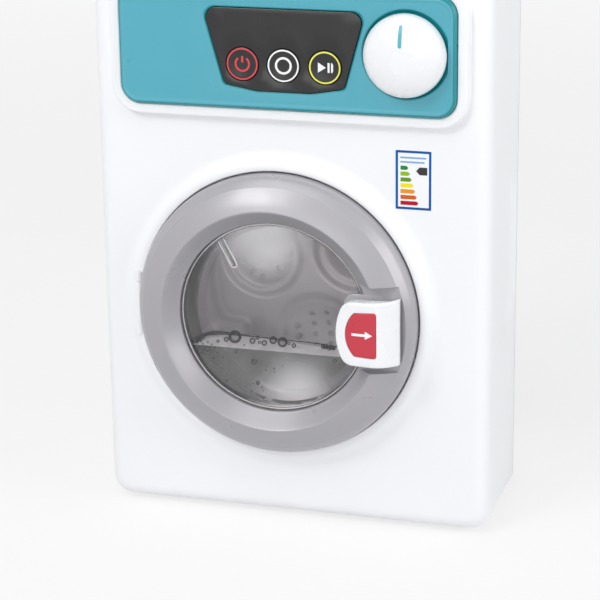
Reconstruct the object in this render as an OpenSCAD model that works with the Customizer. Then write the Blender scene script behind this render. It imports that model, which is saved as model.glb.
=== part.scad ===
// Toy front-loading washing machine with a water-filled door window, millimetres.
// X is across the front, Y runs to the back, Z is up, and the front faces -Y.
// Depths behind the front face are called d: negative d stands in front of it.

/* [Body] */
// Width of the body
body_w = 186; // [178:1:200]
// Height from the floor to the top
body_h = 262; // [258:1:290]
// Depth of the body from the front face to the back
body_d = 150; // [145:1:175]
// Depth of the front shell, from the front face to the seam
seam_d = 58; // [56:1:66]
// Width of the tapered back
back_w = 142; // [140:1:150]
// Thickness of the shells
wall = 2.4; // [2:0.1:3]
// Radius of the front corners
corner_r = 7; // [5:0.5:9]
// Radius of the back corners
back_r = 14; // [10:1:18]
// Radius of the body's corners as seen from the front
view_r = 10; // [7:1:14]
// Height of the rubber feet
foot_h = 2; // [1.5:0.5:4]
// Radius of the rubber feet
foot_r = 6; // [5:0.5:8]
// Width of the grip recess in each side
grip_w = 34; // [28:1:35]
// Height of the grip recess in each side
grip_h = 74; // [60:1:90]
// Depth of the grip recess
grip_deep = 2; // [1:0.2:2.4]
// Grip recess centre, above the door centre
grip_rise = 24; // [10:1:34]

/* [Door] */
// Door centre, measured from the middle of the body
door_x = -5.5; // [-9:0.5:0]
// Share of the height left free by door and panel that lies below the door
door_share = 0.64; // [0.5:0.01:0.7]
// Outer radius of the grey door ring
ring_r = 66.4; // [64:0.2:68]
// Radius of the ring's crest, its sharp inner edge
crest_r = 51.9; // [51:0.1:53]
// How far the crest stands in front of the lip
crest_out = 15.2; // [14:0.2:17]
// Radius of the clear window inside the ring
window_r = 45; // [43:0.5:45.4]
// How far the raised lip round the door stands in front of the body
lip_h = 3; // [2.6:0.2:3.6]
// Gap between the ring and the lip
ring_gap = 0.6; // [0.5:0.1:0.8]
// Depth of the recess behind the door
recess_d = 9; // [8.6:0.2:12]
// Thickness of the clear lens
lens_t = 1.8; // [1.4:0.1:2]
// Depth of the middle of the clear bowl's back behind the front face
bowl_d = 8.6; // [8:0.1:10]
// How much deeper the bowl gets towards the hinge, per millimetre across
bowl_slant = 0.17; // [0:0.01:0.18]
// Thickness of the bowl
bowl_t = 1.4; // [1:0.1:1.6]
// Water level, below the door centre
water_drop = 16.9; // [5:0.1:30]

/* [Latch] */
// Handle axis, measured from the door centre
latch_x = 50.5; // [50.2:0.1:51]
// Width of the handle
handle_w = 27.5; // [24:0.5:28.5]
// How far the handle reaches from its axis towards the middle of the door
handle_in = 16; // [14:0.5:17]
// Height of the handle
handle_h = 31.2; // [28:0.2:32]
// Front of the handle, in front of the body
handle_out = 24.8; // [23.5:0.1:26]
// Radius of the handle's rounded end
handle_r = 17; // [16:0.5:20]
// Half height of the square pocket in the ring
pocket_half = 20.2; // [19.6:0.2:21]
// Width of the red patch
patch_w = 14; // [11:0.5:15]
// Height of the red patch
patch_h = 21.6; // [18:0.2:23]
// Radius of the spindle
spindle_r = 2.5; // [2.2:0.1:2.6]
// Length of the cam's nose from the spindle axis
nose_len = 14.5; // [12:0.1:14.6]

/* [Hinge] */
// Gap from the ring to the hinge axis
hinge_off = 1.8; // [1.7:0.1:2]
// Hinge axis, in front of the front face
hinge_out = 1.4; // [1.3:0.1:1.6]
// Radius of the hinge pin
pin_r = 1; // [0.8:0.1:1.2]
// Radius of the door's knuckle
knuckle_r = 2; // [1.8:0.1:2.1]
// Half length of the door's knuckle
knuckle_half = 10; // [8:0.5:12]
// Length of each bracket ear
ear_len = 5.2; // [4:0.2:6]

/* [Panel] */
// Width of the teal control panel
panel_w = 156; // [152:1:160]
// Height of the teal control panel
panel_h = 54; // [52:1:55]
// Top of the control panel below the top of the body
panel_gap = 10.3; // [9:0.1:12]
// How far the control panel stands in front of the body
panel_out = 6.2; // [5.5:0.1:7]
// Width of the white frame round the control panel
frame_w = 5; // [3.5:0.5:5]
// How far the white frame stands in front of the body
frame_out = 4; // [3:0.2:4.6]
// Width of the black display at its bottom edge
display_w = 55.4; // [54:0.2:60]
// Height of the black display
display_h = 34; // [30:0.5:35]
// Radius of the round buttons
button_r = 7.5; // [6.5:0.1:8]
// Distance between the buttons
button_pitch = 19.1; // [18.6:0.1:20]
// Button row above the bottom of the panel
button_rise = 20.6; // [20:0.1:22]
// Travel of a button
button_travel = 1.5; // [1:0.1:1.8]
// Programme knob centre, from the middle of the body
knob_x = 55.7; // [54:0.1:56]
// Programme knob centre above the bottom of the panel
knob_rise = 27.9; // [26:0.1:29]
// Radius of the programme knob
knob_r = 18.4; // [16:0.1:18.6]
// How far the knob stands in front of the panel
knob_out = 11; // [8:0.5:14]
// Radius of the knob's shaft
knob_shaft_r = 3; // [2.5:0.1:3.5]

/* [Label] */
// Width of the printed label
label_w = 16.4; // [14:0.1:20]
// Height of the printed label
label_h = 27; // [24:0.1:32]
// Label centre, from the door centre
label_x = 63.2; // [62:0.1:70]
// Label centre above the door centre
label_rise = 66.2; // [64:0.1:72]

/* [Drum] */
// Inner radius of the tub
tub_r = 56; // [55:0.5:58]
// Depth of the tub's back wall behind the front face
tub_d = 70; // [68:1:76]
// Outer radius of the drum
drum_r = 51.5; // [48:0.5:53]
// Radius of the drum's mouth
mouth_r = 47; // [44:0.5:49]
// Front of the drum behind the front face
drum_front = 14; // [13:0.5:16]
// Gap between the drum's back and the tub's back wall
drum_gap = 4; // [3:0.5:8]
// Height of a paddle
paddle_h = 9; // [6:0.5:11]
// Angle at which the drum rests, degrees
drum_rest = 7; // [0:1:60]
// Distance of the drum's inner face from its back
web_gap = 16; // [13:0.5:20]
// Radius of each round dish in the inner face
dish_r = 19.5; // [16:0.5:20]
// Distance from the drum axis to a dish
dish_reach = 27; // [26.5:0.1:28]
// Depth of a dish
dish_deep = 8; // [4:0.5:9]
// Radius of a drain hole
drain_r = 1.6; // [1.2:0.1:1.8]
// Radius of the drum shaft
shaft_r = 3; // [2.5:0.1:3.4]
// Outer radius of the bearing bush
bush_r = 5; // [4.6:0.1:6]
// Length of the bearing bush
bush_len = 13; // [10:0.5:14]

/* [Drive] */
// Gear module
gear_m = 0.9; // [0.85:0.01:0.95]
// Teeth on the drum gear
gear_teeth = 48; // [44:4:52]
// Teeth on the pinion
pinion_teeth = 12; // [12:1:13]
// Thickness of the gears
gear_t = 6; // [4:0.5:6]
// Direction of the motor from the drum axis, degrees
motor_angle = 60; // [50:1:70]
// Radius of the motor
motor_r = 10; // [9:0.5:12]
// Length of the motor
motor_len = 25; // [20:1:28]
// Radius of the motor shaft
motor_shaft_r = 1; // [0.8:0.1:1.1]
// Radius from the drum axis to the bracket posts
post_reach = 40; // [36:1:44]

/* [Battery] */
// Radius of a battery cell
cell_r = 7.2; // [7:0.1:7.3]
// Length of a battery cell
cell_len = 50.5; // [48:0.5:51]
// Number of battery cells
cells = 3; // [2:1:3]
// Height of the battery box centre above the floor
battery_z = 46; // [44:1:60]
// How far the battery cover lifts off
cover_travel = 30; // [20:1:40]

/* [Sound] */
// Radius of the loudspeaker
speaker_r = 18; // [14:1:20]
// Height of the loudspeaker above the floor
speaker_z = 190; // [170:1:195]

/* [Fasteners] */
// Case screw posts, from the middle of the body at the bottom
post_x = 60; // [54:1:61]
// Case screw posts, from the middle of the body at the top
top_post_x = 55; // [48:1:58]
// Radius of a screw post
post_r = 4.5; // [4.2:0.1:5]
// Radius of a case screw's shank
screw_r = 1.4; // [1.2:0.1:1.5]
// Radius of a small screw's shank
small_screw_r = 1; // [0.8:0.1:1]

/* [Fits] */
// Radial clearance of a turning fit
run_fit = 0.05; // [0.03:0.01:0.08]
// Gap between bodies that move past each other
air = 0.3; // [0.25:0.05:0.4]
// Gap round a piece that is fixed in a pocket
seat_fit = 0.15; // [0.1:0.05:0.2]

/* [Hidden] */
$fn = 64;

// The whole object is centred on Y, from the handle's front to the back wall
front_y = (handle_out - body_d) / 2;
eps = 0.01;
lip_r = ring_r + ring_gap;
lip_out = lip_r + 9;
recess_wall = 2;
panel_z = body_h - panel_gap - panel_h;
door_z = lip_out + door_share * (panel_z - frame_w - 2 * lip_out);
drum_back = tub_d - drum_gap;
drum_wall = 1.5;
web_d = drum_back - web_gap;
bowl_end = 18;
panel_in = panel_out - 2.4;
ledge_d = 0.5;
board_d = 8;
board_t = 1.6;
board_margin = 4.5;
board_shift = 2;
board_half = panel_w / 2 - 2 * board_margin;
dial_w = 16;
seat_gap = 10;
speaker_rim = 4;
pocket_d = -12.2;
pocket_floor = 2;
lens_d = -9.6;
seal_t = 0.8;
flange_r = 46.6;
flange_t = 1.4;
collar_in = flange_r + 0.2;
collar_out = flange_r + 1.6;
frame_back = 0;
frame_front = -2.5;
cam_d = frame_back + air;
cam_t = 2.5;
tub_wall = 2.4;
boss_d = tub_d + tub_wall;
gear_d = tub_d + 17;
bracket_d = gear_d + gear_t + 3;
bracket_t = 2;
centre_gap = gear_m * (gear_teeth + pinion_teeth) / 2;
motor_at = [door_x, door_z] + centre_gap * [cos(motor_angle), sin(motor_angle)];
bracket_posts = [for (a = [-50, 50])
  [door_x, door_z] + post_reach * [cos(motor_angle + a), sin(motor_angle + a)]];
inner_back = body_d - wall;
box_wall = 1.6;
box_w = cell_len + 8;
cell_pitch = 2 * cell_r + 0.2;
box_h = cells * cell_pitch + 2 * box_wall + 0.8;
box_t = 2 * cell_r + 1 + box_wall;
cover_t = 1.2;
cover_tab = 9;
hinge_x = door_x - ring_r - hinge_off;

// A unit vector, and the rounded corner at b between a and c: start, end and centre
function unit(v) = v / norm(v);
function corner(a, b, c, r) =
  let (p = unit(a - b), q = unit(c - b), half = acos(p * q) / 2)
  [b + p * r / tan(half), b + q * r / tan(half), b + unit(p + q) * r / sin(half)];

// A convex outline with a true round at each corner
module soft_polygon(points, radii) {
  n = len(points);
  corners = [for (i = [0:n - 1])
    corner(points[(i + n - 1) % n], points[i], points[(i + 1) % n], max(radii[i], eps))];
  polygon([for (c = corners) each [c[0], c[1]]]);
  for (i = [0:n - 1]) {
    if (radii[i] > eps) {
      translate(corners[i][2]) circle(r = radii[i]);
    }
  }
}

module soft_rect(x0, z0, x1, z1, r) {
  soft_polygon([[x0, z0], [x1, z0], [x1, z1], [x0, z1]], [r, r, r, r]);
}

// A plate whose outline is drawn as seen from the front, from depth d0 back to depth d1
module slab(d0, d1) {
  translate([0, front_y + d1, 0]) rotate([90, 0, 0]) linear_extrude(height = d1 - d0) children();
}

module rod(x, z, r, d0, d1) {
  slab(d0, d1) translate([x, z]) circle(r = r);
}

module pipe(x, z, r_out, r_in, d0, d1) {
  slab(d0, d1) translate([x, z]) difference() {
    circle(r = r_out);
    circle(r = r_in);
  }
}

// A turned piece on an axis that runs front to back: its outline is [radius, depth]
module turned(x, z, outline) {
  translate([x, front_y, z]) rotate([-90, 0, 0]) rotate_extrude() polygon(outline);
}

// A straight bar between two points of the front view
module bar(a, b, w) {
  translate(a) rotate(atan2(b[1] - a[1], b[0] - a[0])) translate([0, -w / 2]) square([norm(b - a), w]);
}

// Screw with a round head; the head's seat is at depth d, and it is driven towards the front
module screw(x, z, r, seat, len, head_r, head_t) {
  rod(x, z, r, seat - len, seat);
  rod(x, z, head_r, seat, seat + head_t);
}

// The body as a solid, drawn in by i on every side
module body_solid(i) {
  half = body_w / 2 - i;
  back_half = back_w / 2;
  lean = atan2(body_w / 2 - back_half, body_d - seam_d);
  side = seam_d - i * tan(lean / 2);
  back_x = back_half - i / cos(lean) + i * tan(lean);
  plan = [[-half, i], [half, i], [half, side], [back_x, body_d - i], [-back_x, body_d - i],
    [-half, side]];
  plan_r = [corner_r - i, corner_r - i, 0, back_r - i, back_r - i, 0];
  intersection() {
    translate([0, front_y, foot_h + i]) linear_extrude(height = body_h - foot_h - 2 * i)
      soft_polygon(plan, plan_r);
    translate([-body_w, front_y, 0]) rotate([90, 0, 90]) linear_extrude(height = 2 * body_w)
      soft_polygon([[i, foot_h + i], [body_d - i, foot_h + i], [body_d - i, body_h - i], [i, body_h - i]],
        [corner_r - i, corner_r - i, back_r - i, corner_r - i]);
    slab(0, body_d) soft_rect(-half, foot_h + i, half, body_h - i, view_r - i);
  }
}

module depth_range(d0, d1) {
  translate([-body_w, front_y + d0, -1]) cube([2 * body_w, d1 - d0, body_h + 2]);
}

function case_posts() = let (low = foot_h + wall + post_r + 9, high = body_h - wall - post_r + 0.6)
  [[-post_x, low], [post_x, low], [-top_post_x, high], [top_post_x, high]];

// Outlines of the front view
module panel_outline(grow) {
  soft_rect(-panel_w / 2 - grow, panel_z - grow, panel_w / 2 + grow, panel_z + panel_h + grow, 9 + grow);
}

module display_outline(grow) {
  half = display_w / 2 + grow;
  low = panel_z + 11.5 - grow;
  high = panel_z + 11.5 + display_h + grow;
  flare = tan(27);
  top_half = half + (high - low) * flare * 0.55;
  soft_polygon([[-half, low], [-half * 0.45, low - 2.7], [half * 0.45, low - 2.7], [half, low],
    [top_half, high], [-top_half, high]], [3, 8, 8, 3, 5, 5]);
}

function button_at(i) = [i * button_pitch, panel_z + button_rise];
knob_at = [knob_x, panel_z + knob_rise];

module grip_outline(grow) {
  z = door_z + grip_rise;
  r = grip_w / 2 + grow;
  d = 20 + grip_w / 2;
  translate([d, z - grip_h / 2 + grip_w / 2]) circle(r = r);
  translate([d, z + grip_h / 2 - grip_w / 2]) circle(r = r);
  translate([d - r, z - grip_h / 2 + grip_w / 2]) square([2 * r, grip_h - grip_w]);
}

// A plate on the side of the body, drawn in depth and height, from x0 to x1
module side_plate(x0, x1) {
  translate([x0, front_y, 0]) rotate([90, 0, 90]) linear_extrude(height = x1 - x0) children();
}

module front_shell() {
  color("white") difference() {
    union() {
      intersection() {
        difference() {
          body_solid(0);
          body_solid(wall);
          rod(door_x, door_z, lip_r + 1, -1, wall + 1);
        }
        depth_range(-1, seam_d);
      }
      // Raised lip, recess wall and recess floor
      turned(door_x, door_z, [[lip_r, recess_d], [lip_r, 0.4 - lip_h], [lip_r + 0.4, -lip_h],
        [lip_r + 2.2, -lip_h], [lip_r + 3.4, 0.3 - lip_h], [lip_r + 5, 1.6 - lip_h],
        [lip_r + 7.5, 2.8 - lip_h], [lip_out, 0.2], [lip_out, wall], [lip_r + recess_wall, wall],
        [lip_r + recess_wall, recess_d + recess_wall], [tub_r, recess_d + recess_wall],
        [tub_r, recess_d]]);
      // Pad behind the hinge bracket
      difference() {
        slab(0, recess_d) translate([hinge_x - 5, door_z - knuckle_half - ear_len - 3.4])
          square([8, 2 * (knuckle_half + ear_len + 3.4)]);
        rod(door_x, door_z, lip_r, -lip_h - 1, recess_d + 1);
      }
      // Frame round the control panel
      slab(-frame_out, wall) panel_outline(frame_w);
      // Posts for the case screws
      intersection() {
        body_solid(wall / 2);
        for (p = case_posts()) {
          rod(p[0], p[1], post_r, p[1] > body_h / 2 ? 12 : 0, seam_d);
        }
      }
      // Pads behind the grip recesses
      intersection() {
        body_solid(wall / 2);
        for (s = [-1, 1]) {
          side_plate(s * (body_w / 2 - grip_deep - wall / 2) - wall / 2,
            s * (body_w / 2 - grip_deep - wall / 2) + wall / 2) grip_outline(wall);
        }
      }
      for (p = tub_bosses()) {
        rod(p[0], p[1], 4, recess_d, recess_d + recess_wall);
      }
    }
    for (s = [-1, 1]) {
      side_plate(s * (body_w / 2 + 2) - 2 - (s > 0 ? grip_deep : -grip_deep),
        s * (body_w / 2 + 2) + 2 - (s > 0 ? grip_deep : -grip_deep)) grip_outline(0);
    }
    slab(-frame_out - 1, ledge_d) panel_outline(seat_fit);
    slab(0, wall + 1) panel_outline(-3);
    for (p = case_posts()) {
      rod(p[0], p[1], screw_r + run_fit, seam_d - seat_gap - 2, seam_d + 1);
    }
    for (p = tub_bosses()) {
      rod(p[0], p[1], small_screw_r + run_fit, recess_d - 1, recess_d + recess_wall + 1);
    }
    // Notch for the hinge bracket
    slab(-lip_h - 1, 3) translate([hinge_x - 2.8, door_z - knuckle_half - ear_len - air - 0.3])
      square([10, 2 * (knuckle_half + ear_len + air + 0.3)]);
  }
}

// Screw places that hold the tub on the recess floor
function tub_bosses() = [for (a = [30, 150, 270]) [door_x, door_z] + (tub_r + 5.5) * [cos(a), sin(a)]];

module rear_shell() {
  cover_w = box_w + 6;
  color("white") difference() {
    union() {
      intersection() {
        difference() {
          body_solid(0);
          body_solid(wall);
        }
        depth_range(seam_d, body_d + 1);
      }
      intersection() {
        body_solid(wall / 2);
        for (p = case_posts()) {
          rod(p[0], p[1], post_r + 0.6, seam_d, body_d);
        }
      }
      // Boss for the cover screw
      rod(0, battery_z + box_h / 2 + 3 + cover_tab / 2, 3.5, inner_back - 6, inner_back + eps);
    }
    for (p = case_posts()) {
      rod(p[0], p[1], screw_r + 0.3, seam_d - 1, seam_d + seat_gap + 1);
      rod(p[0], p[1], 2 * screw_r + 0.4, seam_d + seat_gap, body_d + 1);
    }
    // Opening and seat of the battery cover
    slab(inner_back - 1, body_d + 1) translate([-box_w / 2 + box_wall, battery_z - box_h / 2 + box_wall])
      square([box_w - 2 * box_wall, box_h - 2 * box_wall]);
    slab(body_d - cover_t, body_d + 1)
      soft_rect(-cover_w / 2, battery_z - box_h / 2 - 3, cover_w / 2, battery_z + box_h / 2 + 3 + cover_tab, 3);
    rod(0, battery_z + box_h / 2 + 3 + cover_tab / 2, screw_r + air, inner_back - 7, body_d + 1);
    // Sound slots
    for (i = [-3:3]) {
      slab(inner_back - 1, body_d + 1)
        soft_rect(-speaker_r * 0.6, speaker_z + i * 4 - 0.9, speaker_r * 0.6, speaker_z + i * 4 + 0.9, 0.85);
    }
  }
}

function foot_places() = [for (s = [-1, 1]) each
  [[s * (body_w / 2 - 20), front_y + 22], [s * (back_w / 2 - 16), front_y + body_d - 22]]];

module foot_pads() {
  color("dimgray") for (p = foot_places()) {
    translate([p[0], p[1], 0]) cylinder(r = foot_r, h = foot_h);
  }
}

module case_screws() {
  color("silver") for (p = case_posts()) {
    screw(p[0], p[1], screw_r, seam_d + seat_gap, 2 * seat_gap, 2 * screw_r, 2);
  }
}

module control_panel() {
  color([0.42, 0.67, 0.73]) difference() {
    union() {
      slab(-panel_out, ledge_d) panel_outline(0);
      pipe(knob_at[0], knob_at[1], knob_shaft_r + 2.5, knob_shaft_r + run_fit, -panel_in - eps, 1.5);
    }
    difference() {
      slab(-panel_in, ledge_d + 1) panel_outline(-2.4);
      rod(knob_at[0], knob_at[1], knob_shaft_r + 2.5, -panel_in - 1, 3);
      for (p = board_posts()) {
        rod(p[0], p[1], 3, -panel_in - 1, board_d);
      }
    }
    slab(-panel_out - 1, -panel_out + 1.4) display_outline(seat_fit);
    pipe(knob_at[0], knob_at[1], knob_r + 0.9, knob_r - 1.2, -panel_out - 1, -panel_out + 0.6);
    rod(knob_at[0], knob_at[1], knob_shaft_r + run_fit, -panel_out - 1, 3);
    for (i = [-1:1]) {
      rod(button_at(i)[0], button_at(i)[1], button_r + air, -panel_out - 1, -panel_in + 1);
    }
    for (p = board_posts()) {
      rod(p[0], p[1], small_screw_r + run_fit, -1, board_d + 1);
    }
  }
  color([0.42, 0.67, 0.73]) for (p = board_posts()) {
    pipe(p[0], p[1], 3, small_screw_r + run_fit, ledge_d - eps, board_d);
  }
}

function board_posts() = [for (s = [-1, 1]) each
  [[board_shift + s * (board_half - 5), panel_z + 2 * board_margin],
    [board_shift + s * (board_half - 5), panel_z + panel_h - 2 * board_margin]]];

module display_window() {
  color([0.1, 0.1, 0.11]) difference() {
    slab(-panel_out - 0.2, -panel_out + 1.4) display_outline(0);
    for (i = [-1:1]) {
      rod(button_at(i)[0], button_at(i)[1], button_r + air, -panel_out - 1, -panel_in + 1);
    }
  }
}

module circuit_board() {
  color("darkgreen") difference() {
    slab(board_d, board_d + board_t)
      soft_rect(board_shift - board_half, panel_z + board_margin, board_shift + board_half,
        panel_z + panel_h - board_margin, 2);
    for (p = board_posts()) {
      rod(p[0], p[1], small_screw_r + 0.3, board_d - 1, board_d + board_t + 1);
    }
  }
}

module board_screws() {
  color("silver") for (p = board_posts()) {
    screw(p[0], p[1], small_screw_r, board_d + board_t, 7, 2.2, 1.4);
  }
}

// Depth that a pressed button's stem reaches
stem_end = 3.2;

module tact_switches() {
  color("black") for (i = [-1:1]) {
    slab(stem_end + button_travel + air, board_d) translate(button_at(i) - [3, 3]) square(6);
  }
}

module dial_switch() {
  color("gray") difference() {
    slab(board_d - 3.4, board_d) translate(knob_at - dial_w / 2 * [1, 1]) square(dial_w);
    rod(knob_at[0], knob_at[1], knob_shaft_r + run_fit, 4, board_d - 0.6);
  }
}

module program_knob() {
  base = -panel_out - 0.4;
  front = base - knob_out;
  color("white") difference() {
    union() {
      turned(knob_at[0], knob_at[1], [[0, base], [knob_r, base], [knob_r, base - 3],
        [knob_r - 1, base - 6], [knob_r - 4, base - 8.6], [knob_r - 9, front + 0.5], [0, front]]);
      rod(knob_at[0], knob_at[1], knob_shaft_r, base - eps, board_d - 1);
    }
    // Pointer groove and the clip's groove
    slab(front - 1, front + 1.2) translate(knob_at + [-0.9, knob_r * 0.25]) square([1.8, knob_r * 0.5]);
    pipe(knob_at[0], knob_at[1], knob_shaft_r + 1, knob_shaft_r - 0.6, 1.8, 2.8);
  }
}

module knob_clip() {
  color("silver") difference() {
    pipe(knob_at[0], knob_at[1], knob_shaft_r + 2, knob_shaft_r - 0.5, 1.9, 2.7);
    slab(1, 3) translate(knob_at + [-1.5, 0]) square([3, 10]);
  }
}

// Round push button: cap, hidden flange and stem
module push_button(i) {
  p = button_at(i);
  color([0.1, 0.1, 0.11]) {
    rod(p[0], p[1], button_r, -panel_out - 0.4, -panel_in + air);
    rod(p[0], p[1], button_r + 1.2, -panel_in + air, -panel_in + air + 1);
    rod(p[0], p[1], 2, -panel_in + air + 1, stem_end);
  }
}

module info_label() {
  x = door_x + label_x;
  z = door_z + label_rise;
  color([0.2, 0.4, 0.75]) slab(-0.2, 0)
    translate([x - label_w / 2, z - label_h / 2]) square([label_w, label_h]);
}

module hinge_bracket() {
  low = knuckle_half + air;
  color("gray") difference() {
    union() {
      slab(1.3, 3) translate([hinge_x - 2.5, door_z - low - ear_len])
        square([4.1, 2 * (low + ear_len)]);
      for (s = [-1, 1]) {
        translate([hinge_x, front_y - hinge_out, door_z + s * (low + ear_len / 2)])
          cylinder(r = knuckle_r - 0.2, h = ear_len, center = true);
        slab(-hinge_out, 3) translate([hinge_x - knuckle_r + 0.2, door_z + s * (low + ear_len / 2) - ear_len / 2])
          square([2 * knuckle_r - 0.8, ear_len]);
      }
    }
    translate([hinge_x, front_y - hinge_out, door_z])
      cylinder(r = pin_r + 0.02, h = 4 * low, center = true);
  }
}

module hinge_pin() {
  color("silver") translate([hinge_x, front_y - hinge_out, door_z])
    cylinder(r = pin_r, h = 2 * (knuckle_half + air + ear_len) - 0.4, center = true);
}

// Leaf that the cam's nose clicks behind
module catch_spring() {
  x = door_x + latch_x + nose_len;
  color("silver") slab(cam_d, recess_d) translate([x + 0.5, door_z - 7]) square([0.8, 14]);
}

module tub() {
  flange = recess_d + recess_wall;
  color([0.75, 0.76, 0.78]) difference() {
    union() {
      turned(door_x, door_z, [[tub_r, flange], [tub_r + 10, flange], [tub_r + 10, flange + 2],
        [tub_r + tub_wall, flange + 2], [tub_r + tub_wall, boss_d], [bush_r + 3, boss_d],
        [bush_r + 3, tub_d + bush_len], [bush_r + 0.02, tub_d + bush_len],
        [bush_r + 0.02, tub_d], [tub_r, tub_d]]);
      for (p = bracket_posts) {
        rod(p[0], p[1], 4, boss_d - 1, bracket_d);
      }
    }
    for (p = bracket_posts) {
      rod(p[0], p[1], screw_r + run_fit, bracket_d - 12, bracket_d + 1);
    }
    for (p = tub_bosses()) {
      rod(p[0], p[1], small_screw_r + 0.3, flange - 1, flange + 3);
    }
  }
}

module tub_screws() {
  color("silver") for (p = tub_bosses()) {
    screw(p[0], p[1], small_screw_r, recess_d + recess_wall + 2, 3.6, 2.2, 1.4);
  }
}

module bearing_bush() {
  color("goldenrod") pipe(door_x, door_z, bush_r, shaft_r + run_fit, tub_d, tub_d + bush_len);
}

module motor_bracket() {
  color("silver") difference() {
    slab(bracket_d, bracket_d + bracket_t) {
      translate(motor_at) circle(r = motor_r + 1.5);
      for (p = bracket_posts) {
        translate(p) circle(r = 6);
        bar(motor_at, p, 9);
      }
    }
    rod(motor_at[0], motor_at[1], 3, bracket_d - 1, bracket_d + bracket_t + 1);
    for (p = bracket_posts) {
      rod(p[0], p[1], screw_r + 0.3, bracket_d - 1, bracket_d + bracket_t + 1);
    }
    for (p = motor_screw_places()) {
      rod(p[0], p[1], small_screw_r + 0.2, bracket_d - 1, bracket_d + bracket_t + 1);
    }
  }
}

module bracket_screws() {
  color("silver") for (p = bracket_posts) {
    screw(p[0], p[1], screw_r, bracket_d + bracket_t, 9, 2.8, 2);
  }
}

function motor_screw_places() = [for (s = [-1, 1])
  motor_at + s * 6.5 * [cos(motor_angle + 90), sin(motor_angle + 90)]];

module motor() {
  d0 = bracket_d + bracket_t;
  color("silver") difference() {
    union() {
      rod(motor_at[0], motor_at[1], motor_r, d0, d0 + motor_len);
      rod(motor_at[0], motor_at[1], 2.9, d0 - 1.5, d0);
      rod(motor_at[0], motor_at[1], 3, d0 + motor_len, d0 + motor_len + 1.5);
    }
    rod(motor_at[0], motor_at[1], motor_shaft_r + run_fit, d0 - 2, d0 + 8);
    for (p = motor_screw_places()) {
      rod(p[0], p[1], small_screw_r + run_fit, d0 - 1, d0 + 3);
    }
  }
}

// The motor's screws are driven from the front, so their heads stand before the bracket
module motor_screws() {
  color("dimgray") for (p = motor_screw_places()) {
    rod(p[0], p[1], small_screw_r, bracket_d, bracket_d + bracket_t + 2.6);
    rod(p[0], p[1], 1.8, bracket_d - 1.2, bracket_d);
  }
}

module battery_box() {
  d0 = inner_back - box_t;
  color([0.3, 0.3, 0.32]) difference() {
    slab(d0, inner_back) translate([-box_w / 2, battery_z - box_h / 2]) square([box_w, box_h]);
    slab(d0 + box_wall, inner_back + 1)
      translate([-box_w / 2 + box_wall, battery_z - box_h / 2 + box_wall])
      square([box_w - 2 * box_wall, box_h - 2 * box_wall]);
  }
}

function cell_z(i) = battery_z + (i - (cells - 1) / 2) * cell_pitch;

module battery_cells() {
  d = inner_back - box_t + box_wall + cell_r + 0.2;
  color("tan") for (i = [0:cells - 1]) {
    s = i % 2 == 0 ? 1 : -1;
    translate([0, front_y + d, cell_z(i)]) rotate([0, s * 90, 0]) {
      translate([0, 0, -cell_len / 2]) cylinder(r = cell_r, h = cell_len - 1);
      translate([0, 0, cell_len / 2 - 1 - eps]) cylinder(r = 2.6, h = 1 + eps);
    }
  }
}

module contact_springs() {
  d0 = inner_back - box_t + box_wall;
  gap = (box_w - 2 * box_wall - cell_len) / 2;
  color("silver") for (i = [0:cells - 1], s = [-1, 1]) {
    x = s * (cell_len / 2 + gap - 0.5);
    slab(d0 + 2, d0 + 2 * cell_r - 2) translate([x - 0.4, cell_z(i) - 4.5]) square([0.8, 9]);
    translate([s * (cell_len / 2 + 0.2 + (gap - 1.1) / 2), front_y + d0 + cell_r + 0.2, cell_z(i)])
      rotate([0, 90, 0]) cylinder(r = 2.4, h = gap - 1.1, center = true);
  }
}

module speaker() {
  color("dimgray") {
    pipe(0, speaker_z, speaker_r, speaker_r - 3, inner_back - speaker_rim, inner_back);
    rod(0, speaker_z, speaker_r, inner_back - speaker_rim - 1, inner_back - speaker_rim);
    rod(0, speaker_z, speaker_r * 0.55, inner_back - 3 * speaker_rim, inner_back - speaker_rim - 1);
  }
}

// Ring outline from the back of the outer wall, over the roll and the crest, to the window
function ring_front() = let (c = -lip_h - crest_out)
  [[ring_r, frame_front - 0.1], [ring_r, -lip_h - 3], [ring_r - 0.7, -lip_h - 6],
  [ring_r - 2.4, -lip_h - 8.4], [ring_r - 4.9, -lip_h - 9.8], [crest_r + 0.5, c + 0.1], [crest_r, c],
  [crest_r - 0.4, c + 0.3], [window_r + 0.6, lens_d - 1.8], [window_r, lens_d - 1.4]];

module door_ring() {
  c = -lip_h - crest_out;
  floor_back = pocket_d + pocket_floor;
  ring = concat(ring_front(), [[window_r, lens_d], [collar_out + 0.4, lens_d],
    [collar_out + 0.7, lens_d - 1.8], [crest_r, c + 2.6], [crest_r + 0.6, c + 2.5],
    [ring_r - 5.5, -lip_h - 7.8], [ring_r - 3, -lip_h - 5.8], [ring_r - 2.2, -lip_h - 3],
    [ring_r - 2.2, frame_front - 0.1]]);
  filled = concat(ring_front(), [[window_r, floor_back], [ring_r - 3.2, floor_back]]);
  half = pocket_half + 1.8;
  x = door_x + latch_x;
  color([0.66, 0.66, 0.68]) difference() {
    union() {
      turned(door_x, door_z, ring);
      // Walls of the handle's pocket, and its floor with the tab over the window
      intersection() {
        turned(door_x, door_z, filled);
        slab(c - 1, floor_back) translate([x - 24, door_z - half]) square([48, 2 * half]);
      }
      slab(pocket_d, floor_back)
        soft_rect(x - 18.6, door_z - pocket_half + 1.4, x + 2, door_z + pocket_half - 1.4, 4);
      for (p = door_screw_places()) {
        rod(p[0], p[1], 3.2, -12.4, frame_front - 0.1);
      }
    }
    slab(c - 2, pocket_d) translate([x - 24, door_z - pocket_half]) square([48, 2 * pocket_half]);
    rod(x, door_z, spindle_r + run_fit, c, 0);
    for (p = door_screw_places()) {
      rod(p[0], p[1], small_screw_r + run_fit, -10.4, 0);
    }
  }
}

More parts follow.
